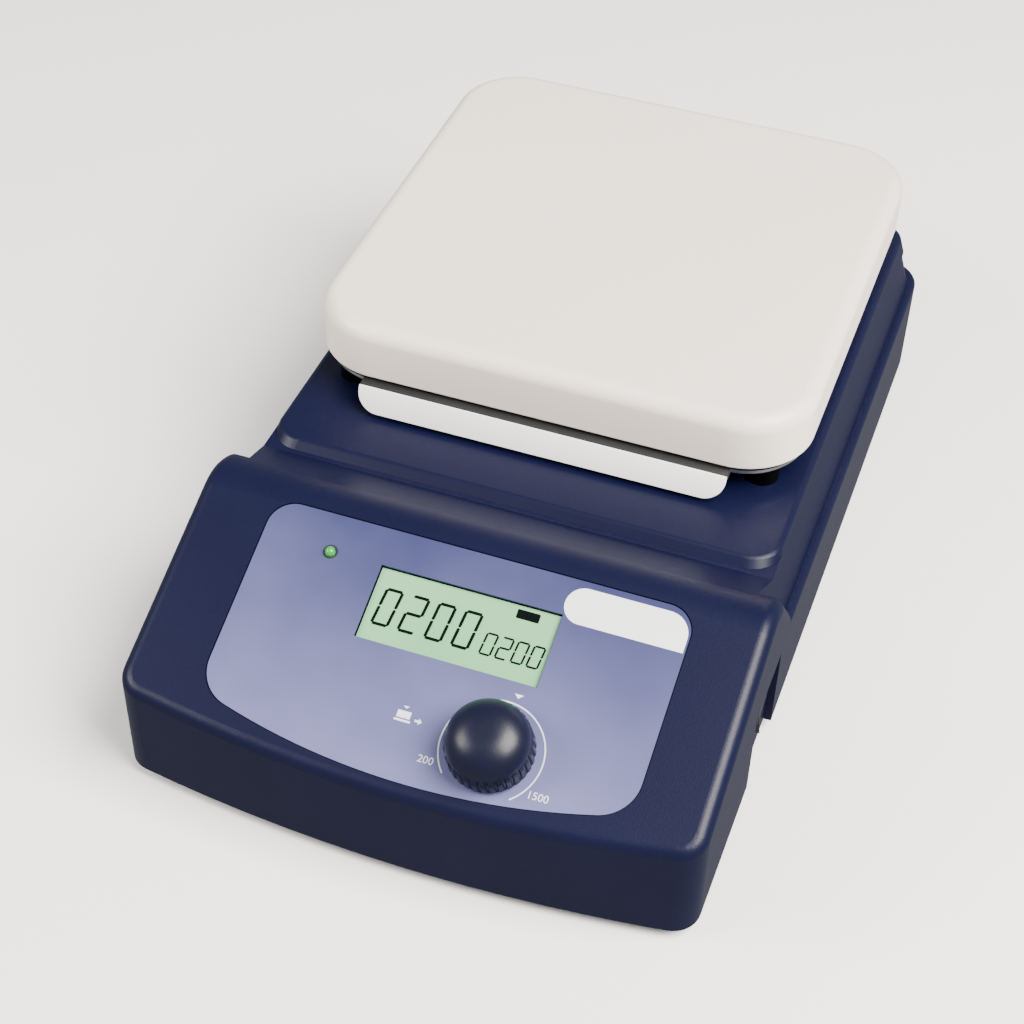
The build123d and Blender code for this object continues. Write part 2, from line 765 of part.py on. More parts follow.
with BuildPart() as knob:
    with BuildSketch(on_knob_axis(knob_gap)):
        Circle(knob_diameter / 2)
    with BuildSketch(on_knob_axis(knob_gap + knob_height * 0.55)):
        Circle(knob_diameter / 2 - 0.5)
    loft()
    with BuildSketch(on_knob_axis(knob_gap)):
        with PolarLocations(knob_diameter / 2 + 0.15, knob_flutes):
            Circle(knob_flute_radius)
    extrude(amount=knob_height * 0.5, mode=Mode.SUBTRACT)
    with BuildSketch(on_knob_axis(knob_gap + knob_height * 0.55)):
        Circle(knob_top_diameter / 2)
    extrude(amount=knob_height * 0.45)
    fillet(knob.faces().sort_by(knob_axis)[-1].edges(), knob_height * 0.4)
    with BuildSketch(on_knob_axis(knob_gap)):
        Circle(bushing_diameter / 2 + 3.4)
    extrude(amount=bushing_top_h + knob_travel, mode=Mode.SUBTRACT)
    with BuildSketch(on_knob_axis(knob_gap)):
        Circle(shaft_diameter / 2)
    extrude(amount=knob_height - 3.0 - knob_gap, mode=Mode.SUBTRACT)
finish(knob, "knob")

# ---------------------------------------------------------------- power switch
rocker_length = switch_length - 1.6 - 2 * rocker_end_clearance
rocker_width = switch_width - 1.6 - 2 * rocker_clearance
pivot_h = -3.4
pin_radius = 1.2

with BuildPart() as switch_body:
    with BuildSketch(switch_plane.offset(-switch_bezel)):
        RectangleRounded(switch_length + 2.4, switch_width + 2.4, 1.0)
    extrude(amount=switch_bezel)
    with BuildSketch(switch_plane.offset(-switch_bezel)):
        Rectangle(switch_length, switch_width)
    extrude(amount=-switch_depth)
    with BuildSketch(switch_plane):
        Rectangle(switch_length - 1.6, switch_width - 1.6)
    extrude(amount=-switch_depth + 2.5, mode=Mode.SUBTRACT)
    with BuildSketch(rocker_plane):
        with Locations((0, -pivot_h)):
            Circle(pin_radius + shaft_clearance)
    extrude(amount=switch_width / 2 - 0.3, both=True, mode=Mode.SUBTRACT)
    for u in (-4.0, 0.0, 4.0):
        with BuildSketch(switch_plane.offset(-switch_bezel - switch_depth)):
            with Locations((u, 0)):
                Rectangle(0.8, 4.8)
        extrude(amount=-6.0)
finish(switch_body, "switch_body")

with BuildPart() as switch_rocker:
    with BuildSketch(rocker_plane):
        with BuildLine():
            half = rocker_length / 2
            Polyline(
                (-half, -0.8),
                (0, 0),
                (half, -0.8),
                (half - 0.4, 2.0),
                (1.6, 2.4),
                (1.6, -pivot_h),
                (-1.6, -pivot_h),
                (-1.6, 2.4),
                (-half + 0.4, 2.0),
                close=True,
            )
        make_face()
    extrude(amount=rocker_width / 2, both=True)
    with BuildSketch(rocker_plane):
        with Locations((0, -pivot_h)):
            Circle(pin_radius)
    extrude(amount=switch_width / 2 - 0.4, both=True)
rocker_axis = Axis(switch_plane.from_local_coords(Vector(0, 0, pivot_h)), switch_across)
switch_rocker.part = switch_rocker.part.rotate(rocker_axis, rocker_tilt)
finish(switch_rocker, "switch_rocker")

# ---------------------------------------------------------------- drive
motor_axis_plane = Plane(origin=(0, plate_y, 0))
bearing_low_z = motor_bottom_z + motor_shell
bearing_high_z = motor_top_z - bearing_width
core_z = bearing_low_z + bearing_width + 1.0
core_height = bearing_high_z - core_z - 1.0

with BuildPart(motor_axis_plane.offset(motor_bottom_z + motor_shell)) as motor_can:
    Cylinder(motor_diameter / 2, motor_height - motor_shell, align=flat)
    fillet(motor_can.faces().sort_by(Axis.Z)[-1].edges(), 1.5)
    inner_height = motor_height - motor_shell - bearing_width
    Cylinder(core_diameter / 2, inner_height, align=flat, mode=Mode.SUBTRACT)
    Cylinder(bearing_diameter / 2, motor_height, align=flat, mode=Mode.SUBTRACT)
    with Locations((0, 0, motor_height - motor_shell)):
        with PolarLocations(motor_diameter / 2 - 5.0, 4, start_angle=45):
            Cylinder(screw_diameter / 2, motor_thread, align=hanging, mode=Mode.SUBTRACT)
finish(motor_can, "motor_can")

with BuildPart(motor_axis_plane.offset(motor_bottom_z)) as motor_end_cap:
    Cylinder(motor_diameter / 2, motor_shell, align=flat)
    Cylinder(bearing_diameter / 2 + 2.0, motor_shell + bearing_width, align=flat)
    Cylinder(drive_shaft_diameter / 2 + 1.0, motor_height, align=flat, mode=Mode.SUBTRACT)
    with Locations((0, 0, motor_shell)):
        Cylinder(bearing_diameter / 2, bearing_width, align=flat, mode=Mode.SUBTRACT)
finish(motor_end_cap, "motor_end_cap")

with BuildPart(motor_axis_plane.offset(core_z)) as stator_core:
    Cylinder(core_diameter / 2, core_height, align=flat)
    Cylinder(core_bore / 2, core_height, align=flat, mode=Mode.SUBTRACT)
    with PolarLocations((core_diameter + core_bore) / 4, 6):
        Box(core_diameter / 4, 6.0, core_height, align=flat, mode=Mode.SUBTRACT)
finish(stator_core, "stator_core")

with BuildPart(motor_axis_plane.offset(core_z + 1)) as stator_windings:
    with PolarLocations((core_diameter + core_bore) / 4, 6):
        Box(core_diameter / 4 - 0.6, 5.4, core_height - 2, align=flat)
finish(stator_windings, "stator_windings")


def bearing(label, z):
    """Ball bearing as one ring with a running fit on the shaft."""
    with BuildPart(motor_axis_plane.offset(z)) as ring:
        Cylinder(bearing_diameter / 2, bearing_width, align=flat)
        Cylinder(drive_shaft_diameter / 2 + shaft_clearance, bearing_width, align=flat, mode=Mode.SUBTRACT)
        for level in (0, bearing_width - 0.6):
            with Locations((0, 0, level)):
                Cylinder(bearing_diameter / 2 - 1.6, 0.6, align=flat, mode=Mode.SUBTRACT)
                Cylinder(drive_shaft_diameter / 2 + 1.8, 0.6, align=flat)
                Cylinder(drive_shaft_diameter / 2 + shaft_clearance, 0.6, align=flat, mode=Mode.SUBTRACT)
    finish(ring, label)


bearing("lower_bearing", bearing_low_z)
bearing("upper_bearing", bearing_high_z)

with BuildPart(motor_axis_plane.offset(motor_bottom_z + 0.4)) as drive_shaft:
    Cylinder(drive_shaft_diameter / 2, holder_z + holder_height - motor_bottom_z - 0.4, align=flat)
finish(drive_shaft, "drive_shaft")

with BuildPart(motor_axis_plane.offset(core_z + 0.5)) as motor_rotor:
    Cylinder(core_bore / 2 - 0.6, core_height - 1.0, align=flat)
    Cylinder(drive_shaft_diameter / 2, core_height - 1.0, align=flat, mode=Mode.SUBTRACT)
finish(motor_rotor, "motor_rotor")

with BuildPart(motor_axis_plane.offset(holder_z)) as magnet_holder:
    with BuildSketch(motor_axis_plane.offset(holder_z)):
        SlotOverall(holder_length, holder_width)
    extrude(amount=holder_height)
    Cylinder(holder_width / 2 - 3.0, 5.0, align=hanging)
    with Locations((magnet_pitch / 2, 0, holder_height / 3), (-magnet_pitch / 2, 0, holder_height / 3)):
        Cylinder(magnet_diameter / 2, holder_height, align=flat, mode=Mode.SUBTRACT)
    with Locations((0, 0, -5.0)):
        Cylinder(drive_shaft_diameter / 2, holder_height + 5.0, align=flat, mode=Mode.SUBTRACT)
    with Locations((0, 0, -2.5)):
        Cylinder(screw_diameter / 2, holder_width, rotation=(90, 0, 0), align=flat, mode=Mode.SUBTRACT)
finish(magnet_holder, "magnet_holder")

with BuildPart(motor_axis_plane.offset(holder_z + holder_height / 3)) as drive_magnets:
    with Locations((magnet_pitch / 2, 0, 0), (-magnet_pitch / 2, 0, 0)):
        Cylinder(magnet_diameter / 2, magnet_height, align=flat)
finish(drive_magnets, "drive_magnets")

with BuildPart(motor_axis_plane.offset(holder_z - 2.5)) as holder_screw:
    with Locations((0, -drive_shaft_diameter / 2, 0)):
        Cylinder(screw_diameter / 2, holder_width / 2 - 6.0, rotation=(90, 0, 0), align=flat)
finish(holder_screw, "holder_screw")

with BuildPart() as motor_bracket:
    # folded sheet: top under the motor's face, two legs, feet on the grommets
    foot_z = base_top_z + grommet_height
    with BuildSketch(Plane.XZ.offset(-plate_y)):
        with BuildLine():
            top_half = motor_diameter / 2 + 6.0
            outer = bracket_length / 2
            Polyline(
                (-outer, foot_z),
                (-top_half, foot_z),
                (-top_half, motor_top_z),
                (top_half, motor_top_z),
                (top_half, foot_z),
                (outer, foot_z),
                (outer, foot_z + bracket_sheet),
                (top_half + bracket_sheet, foot_z + bracket_sheet),
                (top_half + bracket_sheet, motor_top_z + bracket_sheet),
                (-top_half - bracket_sheet, motor_top_z + bracket_sheet),
                (-top_half - bracket_sheet, foot_z + bracket_sheet),
                (-outer, foot_z + bracket_sheet),
                close=True,
            )
        make_face()
    extrude(amount=bracket_width / 2, both=True)
    with Locations((0, plate_y, motor_top_z)):
        Cylinder(bearing_diameter / 2 + 1.5, bracket_sheet, align=flat, mode=Mode.SUBTRACT)
        with PolarLocations(motor_diameter / 2 - 5.0, 4, start_angle=45):
            Cylinder((screw_diameter + screw_play) / 2, bracket_sheet, align=flat, mode=Mode.SUBTRACT)
    with Locations(*[(x, y, foot_z) for x, y, z in grommet_places]):
        Cylinder((screw_diameter + screw_play) / 2, bracket_sheet, align=flat, mode=Mode.SUBTRACT)
finish(motor_bracket, "motor_bracket")

with BuildPart() as bracket_grommets:
    with Locations(*[(x, y, base_top_z) for x, y, z in grommet_places]):
        Cylinder(5.0, grommet_height, align=flat)
        Cylinder((screw_diameter + screw_play) / 2, grommet_height, align=flat, mode=Mode.SUBTRACT)
finish(bracket_grommets, "bracket_grommets")

with BuildPart() as bracket_screws:
    with Locations(*[(x, y, base_top_z + grommet_height + bracket_sheet) for x, y, z in grommet_places]):
        Cylinder(screw_head_diameter / 2, screw_head_height, align=flat)
        Cylinder(screw_diameter / 2, bracket_sheet + grommet_height + base_thickness, align=hanging)
finish(bracket_screws, "bracket_screws")

with BuildPart(motor_axis_plane.offset(motor_top_z + bracket_sheet)) as motor_screws:
    with PolarLocations(motor_diameter / 2 - 5.0, 4, start_angle=45):
        Cylinder(screw_head_diameter / 2, screw_head_height, align=flat)
        Cylinder(screw_diameter / 2, bracket_sheet + motor_thread - 0.5, align=hanging)
finish(motor_screws, "motor_screws")

# ---------------------------------------------------------------- power supply
board_z = base_top_z + supply_standoff

with BuildPart() as supply_standoffs:
    with Locations(*[(x, y, base_top_z) for x, y, z in supply_standoff_places]):
        Cylinder(3.0, supply_standoff, align=flat)
        Cylinder(screw_diameter / 2, supply_standoff, align=flat, mode=Mode.SUBTRACT)
finish(supply_standoffs, "supply_standoffs")

with BuildPart() as supply_board:
    with BuildSketch(Plane.XY.offset(board_z)):
        with Locations((0, supply_board_y)):
            RectangleRounded(supply_board_width, supply_board_depth, board_corner_radius)
        with Locations(*[(x, y) for x, y, z in supply_standoff_places]):
            Circle((screw_diameter + screw_play) / 2, mode=Mode.SUBTRACT)
    extrude(amount=board_thickness)
finish(supply_board, "supply_board")

with BuildPart() as supply_screws:
    with Locations(*[(x, y, board_z + board_thickness) for x, y, z in supply_standoff_places]):
        Cylinder(screw_head_diameter / 2, screw_head_height, align=flat)
        Cylinder(screw_diameter / 2, board_thickness + supply_standoff - 0.5, align=hanging)
finish(supply_screws, "supply_screws")

parts_z = board_z + board_thickness
with BuildPart() as transformer:
    with Locations((-30.0, supply_board_y, parts_z)):
        Box(30.0, 26.0, 3.0, align=flat)
    with Locations((-30.0, supply_board_y, parts_z + 3.0)):
        Box(24.0, 16.0, 17.0, align=flat)
    with Locations((-30.0, supply_board_y, parts_z + 5.0)):
        Box(30.0, 8.0, 13.0, align=flat)
finish(transformer, "transformer")

with BuildPart() as capacitors:
    with Locations((2.0, supply_board_y + 10.0, parts_z), (2.0, supply_board_y - 10.0, parts_z)):
        Cylinder(8.0, 22.0, align=flat)
    with Locations((18.0, supply_board_y + 14.0, parts_z), (18.0, supply_board_y + 2.0, parts_z)):
        Cylinder(5.0, 14.0, align=flat)
finish(capacitors, "capacitors")

with BuildPart() as heat_sink:
    with Locations((34.0, supply_board_y, parts_z)):
        Box(3.0, 40.0, 20.0, align=flat)
    for step in range(5):
        with Locations((38.0, supply_board_y - 16.0 + 8.0 * step, parts_z)):
            Box(5.0, 1.6, 20.0, align=flat)
finish(heat_sink, "heat_sink")

# ---------------------------------------------------------------- mains inlet
rear_plane = Plane(origin=(inlet_x, body_depth, inlet_z), x_dir=(-1, 0, 0), z_dir=(0, 1, 0))
drawer_u = socket_width / 2 + socket_u + drawer_wall + drawer_width / 2
contact_places = [
    (socket_u + contact_pitch, -contact_offset),
    (socket_u, contact_offset),
    (socket_u - contact_pitch, -contact_offset),
]


def socket_profile():
    """Outline of the appliance socket: a rectangle with two cut corners."""
    with BuildSketch() as profile:
        Rectangle(socket_width, socket_height)
        chamfer(profile.vertices().group_by(Axis.Y)[-1], socket_corner_cut)
    return Pos(socket_u, 0) * profile.sketch


with BuildPart() as mains_inlet:
    with BuildSketch(rear_plane):
        RectangleRounded(inlet_width, inlet_height, 3.0)
    extrude(amount=inlet_flange)
    with BuildSketch(rear_plane):
        body_width_u = inlet_width - 2 * inlet_border_x - 2 * inlet_fit
        Rectangle(body_width_u, inlet_height - 2 * inlet_border_z - 2 * inlet_fit)
    extrude(amount=-socket_depth - inlet_back)
    with BuildSketch(rear_plane.offset(inlet_flange)):
        add(socket_profile())
    extrude(amount=-socket_depth, mode=Mode.SUBTRACT)
    with BuildSketch(rear_plane.offset(inlet_flange)):
        with Locations((drawer_u, 0)):
            Rectangle(drawer_width + 2 * drawer_clearance, drawer_height + 2 * drawer_clearance)
    extrude(amount=-drawer_length - 0.5, mode=Mode.SUBTRACT)
    with BuildSketch(rear_plane):
        with Locations((-inlet_screw_u, 0), (inlet_screw_u, 0)):
            Circle((screw_diameter + screw_play) / 2)
    extrude(amount=inlet_flange, mode=Mode.SUBTRACT)
    with BuildSketch(rear_plane.offset(-socket_depth - inlet_back)):
        with Locations(*contact_places):
            Rectangle(contact_thickness, contact_height)
    extrude(amount=inlet_back + inlet_flange, mode=Mode.SUBTRACT)
finish(mains_inlet, "mains_inlet")

with BuildPart() as inlet_contacts:
    with BuildSketch(rear_plane.offset(-socket_depth - contact_tail)):
        with Locations(*contact_places):
            Rectangle(contact_thickness, contact_height)
    extrude(amount=contact_tail + socket_depth - contact_setback)
finish(inlet_contacts, "inlet_contacts")

with BuildPart() as inlet_screws:
    for u in (-inlet_screw_u, inlet_screw_u):
        with BuildSketch(rear_plane.offset(inlet_flange)):
            with Locations((u, 0)):
                Circle(screw_head_diameter / 2)
        extrude(amount=low_head_height)
        with BuildSketch(rear_plane.offset(inlet_flange)):
            with Locations((u, 0)):
                Circle(screw_diameter / 2)
        extrude(amount=-inlet_flange - wall - 2.0)
finish(inlet_screws, "inlet_screws")

fuse_u = drawer_u - drawer_width / 2 + fuse_diameter / 2 + 0.4

with BuildPart() as fuse_drawer:
    with BuildSketch(rear_plane.offset(inlet_flange + 1.0)):
        with Locations((drawer_u, 0)):
            Rectangle(drawer_width, drawer_height)
    extrude(amount=-drawer_length)
    with BuildSketch(rear_plane.offset(inlet_flange - 3.0)):
        with Locations((fuse_u - 0.5, 0)):
            Rectangle(fuse_diameter + 2.0, drawer_height - 3.0)
    extrude(amount=-fuse_length - 1.0, mode=Mode.SUBTRACT)
finish(fuse_drawer, "fuse_drawer")

with BuildPart() as fuse:
    with BuildSketch(rear_plane.offset(inlet_flange - 3.5)):
        with Locations((fuse_u, 0)):
            Circle(fuse_diameter / 2)
    extrude(amount=-fuse_length)
finish(fuse, "fuse")

# ---------------------------------------------------------------- wiring
with BuildPart() as ribbon_cable:
    # flat cable from the back of the display board to the supply board
    ribbon_x = 26.0
    start = panel_plane.from_local_coords(Vector(ribbon_x, 59.0, board_h - board_thickness))
    first = panel_plane.from_local_coords(Vector(ribbon_x, 59.0, board_h - board_thickness - 10.0))
    landing_y = supply_board_y - supply_board_depth / 2 + 3.0
    with BuildLine() as route:
        FilletPolyline(
            start,
            first,
            Vector(ribbon_x, landing_y, parts_z + 9.0),
            Vector(ribbon_x, landing_y, parts_z),
            radius=3.0,
        )
    with BuildSketch(Plane(origin=start, x_dir=(1, 0, 0), z_dir=route.line % 0)):
        Rectangle(16.0, 1.0)
    sweep()
finish(ribbon_cable, "ribbon_cable")

with BuildPart() as motor_cable:
    cable_z = motor_bottom_z + 6.0
    motor_front_y = plate_y - motor_diameter / 2
    landing_y = supply_board_y + supply_board_depth / 2 - 4.0
    with BuildLine() as route:
        FilletPolyline(
            Vector(0, motor_front_y, cable_z),
            Vector(0, landing_y, cable_z),
            Vector(0, landing_y, parts_z),
            radius=3.5,
        )
    with BuildSketch(Plane(origin=(0, motor_front_y, cable_z), z_dir=(0, -1, 0))):
        Circle(2.0)
    sweep()
finish(motor_cable, "motor_cable")

mains_leads = []
for turn, (u, v) in enumerate(contact_places):
    start_y = body_depth - socket_depth - contact_tail
    lead_z = inlet_z + v
    turn_y = start_y - 3.5 - 3.5 * turn
    lane_x = -supply_board_width / 2 + 3.0 + 4.0 * turn
    landing_y = supply_board_y + supply_board_depth / 2 - 10.0
    with BuildPart() as lead:
        with BuildLine() as route:
            FilletPolyline(
                Vector(inlet_x - u, start_y, lead_z),
                Vector(inlet_x - u, turn_y, lead_z),
                Vector(lane_x, turn_y, lead_z),
                Vector(lane_x, landing_y, lead_z),
                Vector(lane_x, landing_y, parts_z),
                radius=3.0,
            )
        with BuildSketch(Plane(origin=(inlet_x - u, start_y, lead_z), z_dir=(0, -1, 0))):
            Circle(wire_diameter / 2)
        sweep()
    mains_leads.append(lead.part)

with BuildPart() as mains_wires:
    add(mains_leads)
finish(mains_wires, "mains_wires")

switch_leads = []
for turn, u in enumerate((-4.0, 4.0)):
    tab = switch_plane.from_local_coords(Vector(u, 0, -switch_bezel - switch_depth - 6.0))
    lane_x = supply_board_width / 2 - 3.0 - 4.0 * (1 - turn)
    landing_y = supply_board_y - supply_board_depth / 2 + 9.0 + 5.0 * turn
    with BuildPart() as lead:
        with BuildLine() as route:
            FilletPolyline(
                tab,
                Vector(lane_x, tab.Y, tab.Z),
                Vector(lane_x, landing_y, tab.Z),
                Vector(lane_x, landing_y, parts_z),
                radius=3.0,
            )
        with BuildSketch(Plane(origin=tab, z_dir=(-1, 0, 0))):
            Circle(wire_diameter / 2)
        sweep()
    switch_leads.append(lead.part)

with BuildPart() as switch_wires:
    add(switch_leads)
finish(switch_wires, "switch_wires")
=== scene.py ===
import bpy
import bmesh
import json
import math
from mathutils import Matrix, Vector


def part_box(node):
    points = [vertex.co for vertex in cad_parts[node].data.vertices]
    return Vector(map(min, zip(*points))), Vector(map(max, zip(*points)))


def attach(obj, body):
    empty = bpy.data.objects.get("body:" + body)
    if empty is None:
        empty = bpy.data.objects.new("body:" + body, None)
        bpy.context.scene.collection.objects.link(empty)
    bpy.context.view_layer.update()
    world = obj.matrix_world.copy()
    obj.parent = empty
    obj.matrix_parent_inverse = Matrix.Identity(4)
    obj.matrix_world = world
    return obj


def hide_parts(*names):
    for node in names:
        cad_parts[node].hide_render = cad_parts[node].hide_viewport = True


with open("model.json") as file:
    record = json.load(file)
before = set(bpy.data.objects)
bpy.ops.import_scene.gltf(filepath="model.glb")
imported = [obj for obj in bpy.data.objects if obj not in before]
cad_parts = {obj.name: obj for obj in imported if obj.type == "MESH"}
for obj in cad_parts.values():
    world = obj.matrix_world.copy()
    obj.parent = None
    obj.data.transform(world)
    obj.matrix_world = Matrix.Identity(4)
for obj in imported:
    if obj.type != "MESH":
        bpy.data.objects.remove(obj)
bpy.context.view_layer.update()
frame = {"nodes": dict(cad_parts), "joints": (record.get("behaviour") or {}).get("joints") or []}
nodes = frame["nodes"]

# ---------------------------------------------------------------- housing
# The upper housing is one injection-moulded shell of navy ABS. Its tool was spark eroded, which
# leaves a fine leathery satin grain all over, and handling has left soft paler patches on it.
MM = 0.001


def colour(hex_value):
    """An sRGB hex value as linear RGBA."""
    channels = [int(hex_value[i : i + 2], 16) / 255 for i in (0, 2, 4)]
    linear = [c / 12.92 if c <= 0.04045 else ((c + 0.055) / 1.055) ** 2.4 for c in channels]
    return (*linear, 1.0)


def add_node(material, kind, inputs=(), **settings):
    """Add a node to a material with its settings, its input values and its links."""
    made = material.node_tree.nodes.new(kind)
    for name, value in settings.items():
        setattr(made, name, value)
    for socket, value in dict(inputs).items():
        if isinstance(value, bpy.types.NodeSocket):
            material.node_tree.links.new(value, made.inputs[socket])
        else:
            made.inputs[socket].default_value = value
    return made


def new_material(name):
    """An empty node material and the Object coordinates that its patterns lie in."""
    material = bpy.data.materials.new(name)
    material.use_nodes = True
    material.node_tree.nodes.clear()
    place = add_node(material, "ShaderNodeTexCoord").outputs["Object"]
    return material, place


def output(material, **shader_inputs):
    """End a material in one Principled shader. An underscore in a name stands for a space."""
    inputs = {name.replace("_", " "): value for name, value in shader_inputs.items()}
    shader = add_node(material, "ShaderNodeBsdfPrincipled", inputs)
    add_node(material, "ShaderNodeOutputMaterial", {"Surface": shader.outputs[0]})
    return material


def moulded(name, base, worn, roughness, grain_mm, relief_mm, patch_mm=35.0, **extra):
    """A moulded surface: base colour, worn colour in soft patches, and grain as bump."""
    material, place = new_material(name)
    grain = add_node(
        material, "ShaderNodeTexNoise", {"Vector": place, "Scale": 1 / (grain_mm * MM), "Detail": 3.0}
    )
    patches = add_node(
        material, "ShaderNodeTexNoise", {"Vector": place, "Scale": 1 / (patch_mm * MM), "Detail": 4.0}
    )
    worn_share = add_node(
        material,
        "ShaderNodeMapRange",
        {"Value": patches.outputs[0], "From Min": 0.42, "From Max": 0.72, "To Max": 0.55},
    )
    tone = add_node(
        material,
        "ShaderNodeMix",
        {0: worn_share.outputs[0], 6: colour(base), 7: colour(worn)},
        data_type="RGBA",
    )
    gloss = add_node(
        material,
        "ShaderNodeMapRange",
        {"Value": grain.outputs[0], "To Min": roughness - 0.06, "To Max": roughness + 0.06},
    )
    bump = add_node(
        material,
        "ShaderNodeBump",
        {"Height": grain.outputs[0], "Distance": relief_mm * MM, "Strength": 0.7},
    )
    return output(
        material,
        Base_Color=tone.outputs[2],
        Roughness=gloss.outputs[0],
        Normal=bump.outputs[0],
        **extra,
    )


def give(material, *names):
    """Put one material on CAD nodes."""
    for name in names:
        mesh = nodes[name].data
        mesh.materials.clear()
        mesh.materials.append(material)


# The specular level here, and on the film, display and knob, is set below that of the real plastic
# to keep the dark colours from washing out under the white surround.
navy_abs = moulded(
    "ABS moulded satin navy", "080B27", "0C0F2B", 0.38, 0.45, 0.05, IOR=1.54, Specular_IOR_Level=0.2
)
give(navy_abs, "upper_housing")

# ---------------------------------------------------------------- base, feet and rating plate
# The base is a black moulded ABS tray screwed up into the housing's bosses. It stands on four
# rubber feet, and carries a blank foil rating plate underneath.
black_abs = moulded("ABS moulded black", "17181B", "232428", 0.5, 0.5, 0.05, IOR=1.54)
rubber = moulded("Rubber moulded black", "121213", "1D1D1E", 0.75, 0.6, 0.04, IOR=1.52)
foil = moulded("Polyester foil label silver", "A9ABAD", "8F9194", 0.38, 0.8, 0.01, Metallic=0.7)
give(black_abs, "base_plate")
give(rubber, "rubber_feet", "bracket_grommets")
give(foil, "rating_plate")

# ---------------------------------------------------------------- fasteners and steel sheet
# Screws are zinc-plated steel, turned and plated. The motor bracket, can and end cap are pressed
# from zinc-plated sheet, which shows a fine rolled grain along X.


def metal(name, base, roughness, grain_mm, stretch, **extra):
    """A worked metal: lines of the cutter or the roll along one axis, as tone, gloss and bump."""
    material, place = new_material(name)
    lines = add_node(material, "ShaderNodeMapping", {"Vector": place, "Scale": stretch})
    grain = add_node(
        material,
        "ShaderNodeTexNoise",
        {"Vector": lines.outputs[0], "Scale": 1 / (grain_mm * MM), "Detail": 4.0},
    )
    dull = tuple(0.82 * channel for channel in colour(base)[:3]) + (1.0,)
    tone = add_node(
        material,
        "ShaderNodeMix",
        {0: grain.outputs[0], 6: colour(base), 7: dull},
        data_type="RGBA",
    )
    gloss = add_node(
        material,
        "ShaderNodeMapRange",
        {"Value": grain.outputs[0], "To Min": roughness - 0.08, "To Max": roughness + 0.1},
    )
    bump = add_node(
        material,
        "ShaderNodeBump",
        {"Height": grain.outputs[0], "Distance": 0.02 * MM, "Strength": 0.5},
    )
    return output(
        material,
        Base_Color=tone.outputs[2],
        Metallic=1.0,
        Roughness=gloss.outputs[0],
        Normal=bump.outputs[0],
        **extra,
    )


zinc = metal("Steel zinc plated", "B9BDC2", 0.32, 0.8, (0.2, 1.0, 1.0))
ground_steel = metal("Steel ground bright", "C9CBCE", 0.2, 0.4, (1.0, 1.0, 0.1))
give(
    zinc,
    "base_screws", "foot_screws", "carrier_screws", "plate_screws", "display_screws", "motor_screws",
    "bracket_screws", "supply_screws", "inlet_screws", "holder_screw", "motor_bracket", "motor_can",
    "motor_end_cap",
)
give(ground_steel, "drive_shaft", "lower_bearing", "upper_bearing", "encoder_shaft", "encoder_nut")
give(metal("Magnet nickel plated", "B4B2AC", 0.22, 1.5, (1.0, 1.0, 1.0)), "drive_magnets")
give(metal("Aluminium machined", "C4C7CA", 0.34, 0.6, (1.0, 0.1, 1.0)), "magnet_holder", "heat_sink")
core_steel = metal("Electrical steel laminated", "5A5D63", 0.45, 0.5, (0.05, 0.05, 1.0))
give(core_steel, "stator_core", "motor_rotor")
give(metal("Copper wire enamelled", "B5683C", 0.35, 0.5, (1.0, 0.1, 1.0)), "stator_windings")
give(metal("Brass turned", "C9A75C", 0.3, 0.5, (1.0, 1.0, 0.1)), "inlet_contacts", "supply_standoffs")

# ---------------------------------------------------------------- electronics inside
# Boards are glass epoxy under green solder mask. The parts on them are black thermoset, aluminium
# cans in dark sleeves, a taped transformer, and leads in PVC.
solder_mask = moulded("Glass epoxy green solder mask", "1F5A36", "2B6B43", 0.35, 1.2, 0.02, IOR=1.52)
thermoset = moulded("Thermoset moulded black", "1A1A1C", "242427", 0.45, 0.6, 0.03, IOR=1.55)
sleeve = moulded("PVC shrunk sleeve", "2A2F3B", "353B48", 0.38, 0.8, 0.02, IOR=1.53)
pvc = moulded("PVC insulation grey", "6F7276", "85888C", 0.45, 0.6, 0.02, IOR=1.53)
steatite = moulded("Steatite fired", "DDD5C4", "CFC6B4", 0.55, 0.4, 0.03, IOR=1.6)
light_guide = moulded("Acrylic milk white", "E4E6E4", "D9DCDA", 0.3, 2.0, 0.01, IOR=1.49)
give(solder_mask, "display_board", "supply_board")
give(thermoset, "display_parts", "encoder_body", "encoder_plunger", "switch_body", "transformer")
give(sleeve, "capacitors")
give(pvc, "ribbon_cable", "motor_cable", "mains_wires", "switch_wires")
give(steatite, "plate_standoffs", "fuse")
give(light_guide, "lcd_backlight")

# ---------------------------------------------------------------- top plate
# The plate is cast aluminium, sprayed and fired with a satin warm-white ceramic coat. The coat has
# a very fine orange peel, and its colour drifts a little from warm to cool over the plate.
coat, coat_place = new_material("Ceramic coat satin warm white")
peel = add_node(
    coat, "ShaderNodeTexNoise", {"Vector": coat_place, "Scale": 1 / (1.6 * MM), "Detail": 2.0}
)
drift = add_node(
    coat, "ShaderNodeTexNoise", {"Vector": coat_place, "Scale": 1 / (90 * MM), "Detail": 1.0}
)
drift_share = add_node(
    coat,
    "ShaderNodeMapRange",
    {"Value": drift.outputs[0], "From Min": 0.3, "From Max": 0.7},
)
coat_tone = add_node(
    coat,
    "ShaderNodeMix",
    {0: drift_share.outputs[0], 6: colour("EFE3D8"), 7: colour("E9DFD6")},
    data_type="RGBA",
)
coat_gloss = add_node(
    coat,
    "ShaderNodeMapRange",
    {"Value": peel.outputs[0], "To Min": 0.3, "To Max": 0.42},
)
coat_bump = add_node(
    coat,
    "ShaderNodeBump",
    {"Height": peel.outputs[0], "Distance": 0.02 * MM, "Strength": 0.35},
)
output(
    coat,
    Base_Color=coat_tone.outputs[2],
    Roughness=coat_gloss.outputs[0],
    Normal=coat_bump.outputs[0],
    IOR=1.5,
)
give(coat, "top_plate")

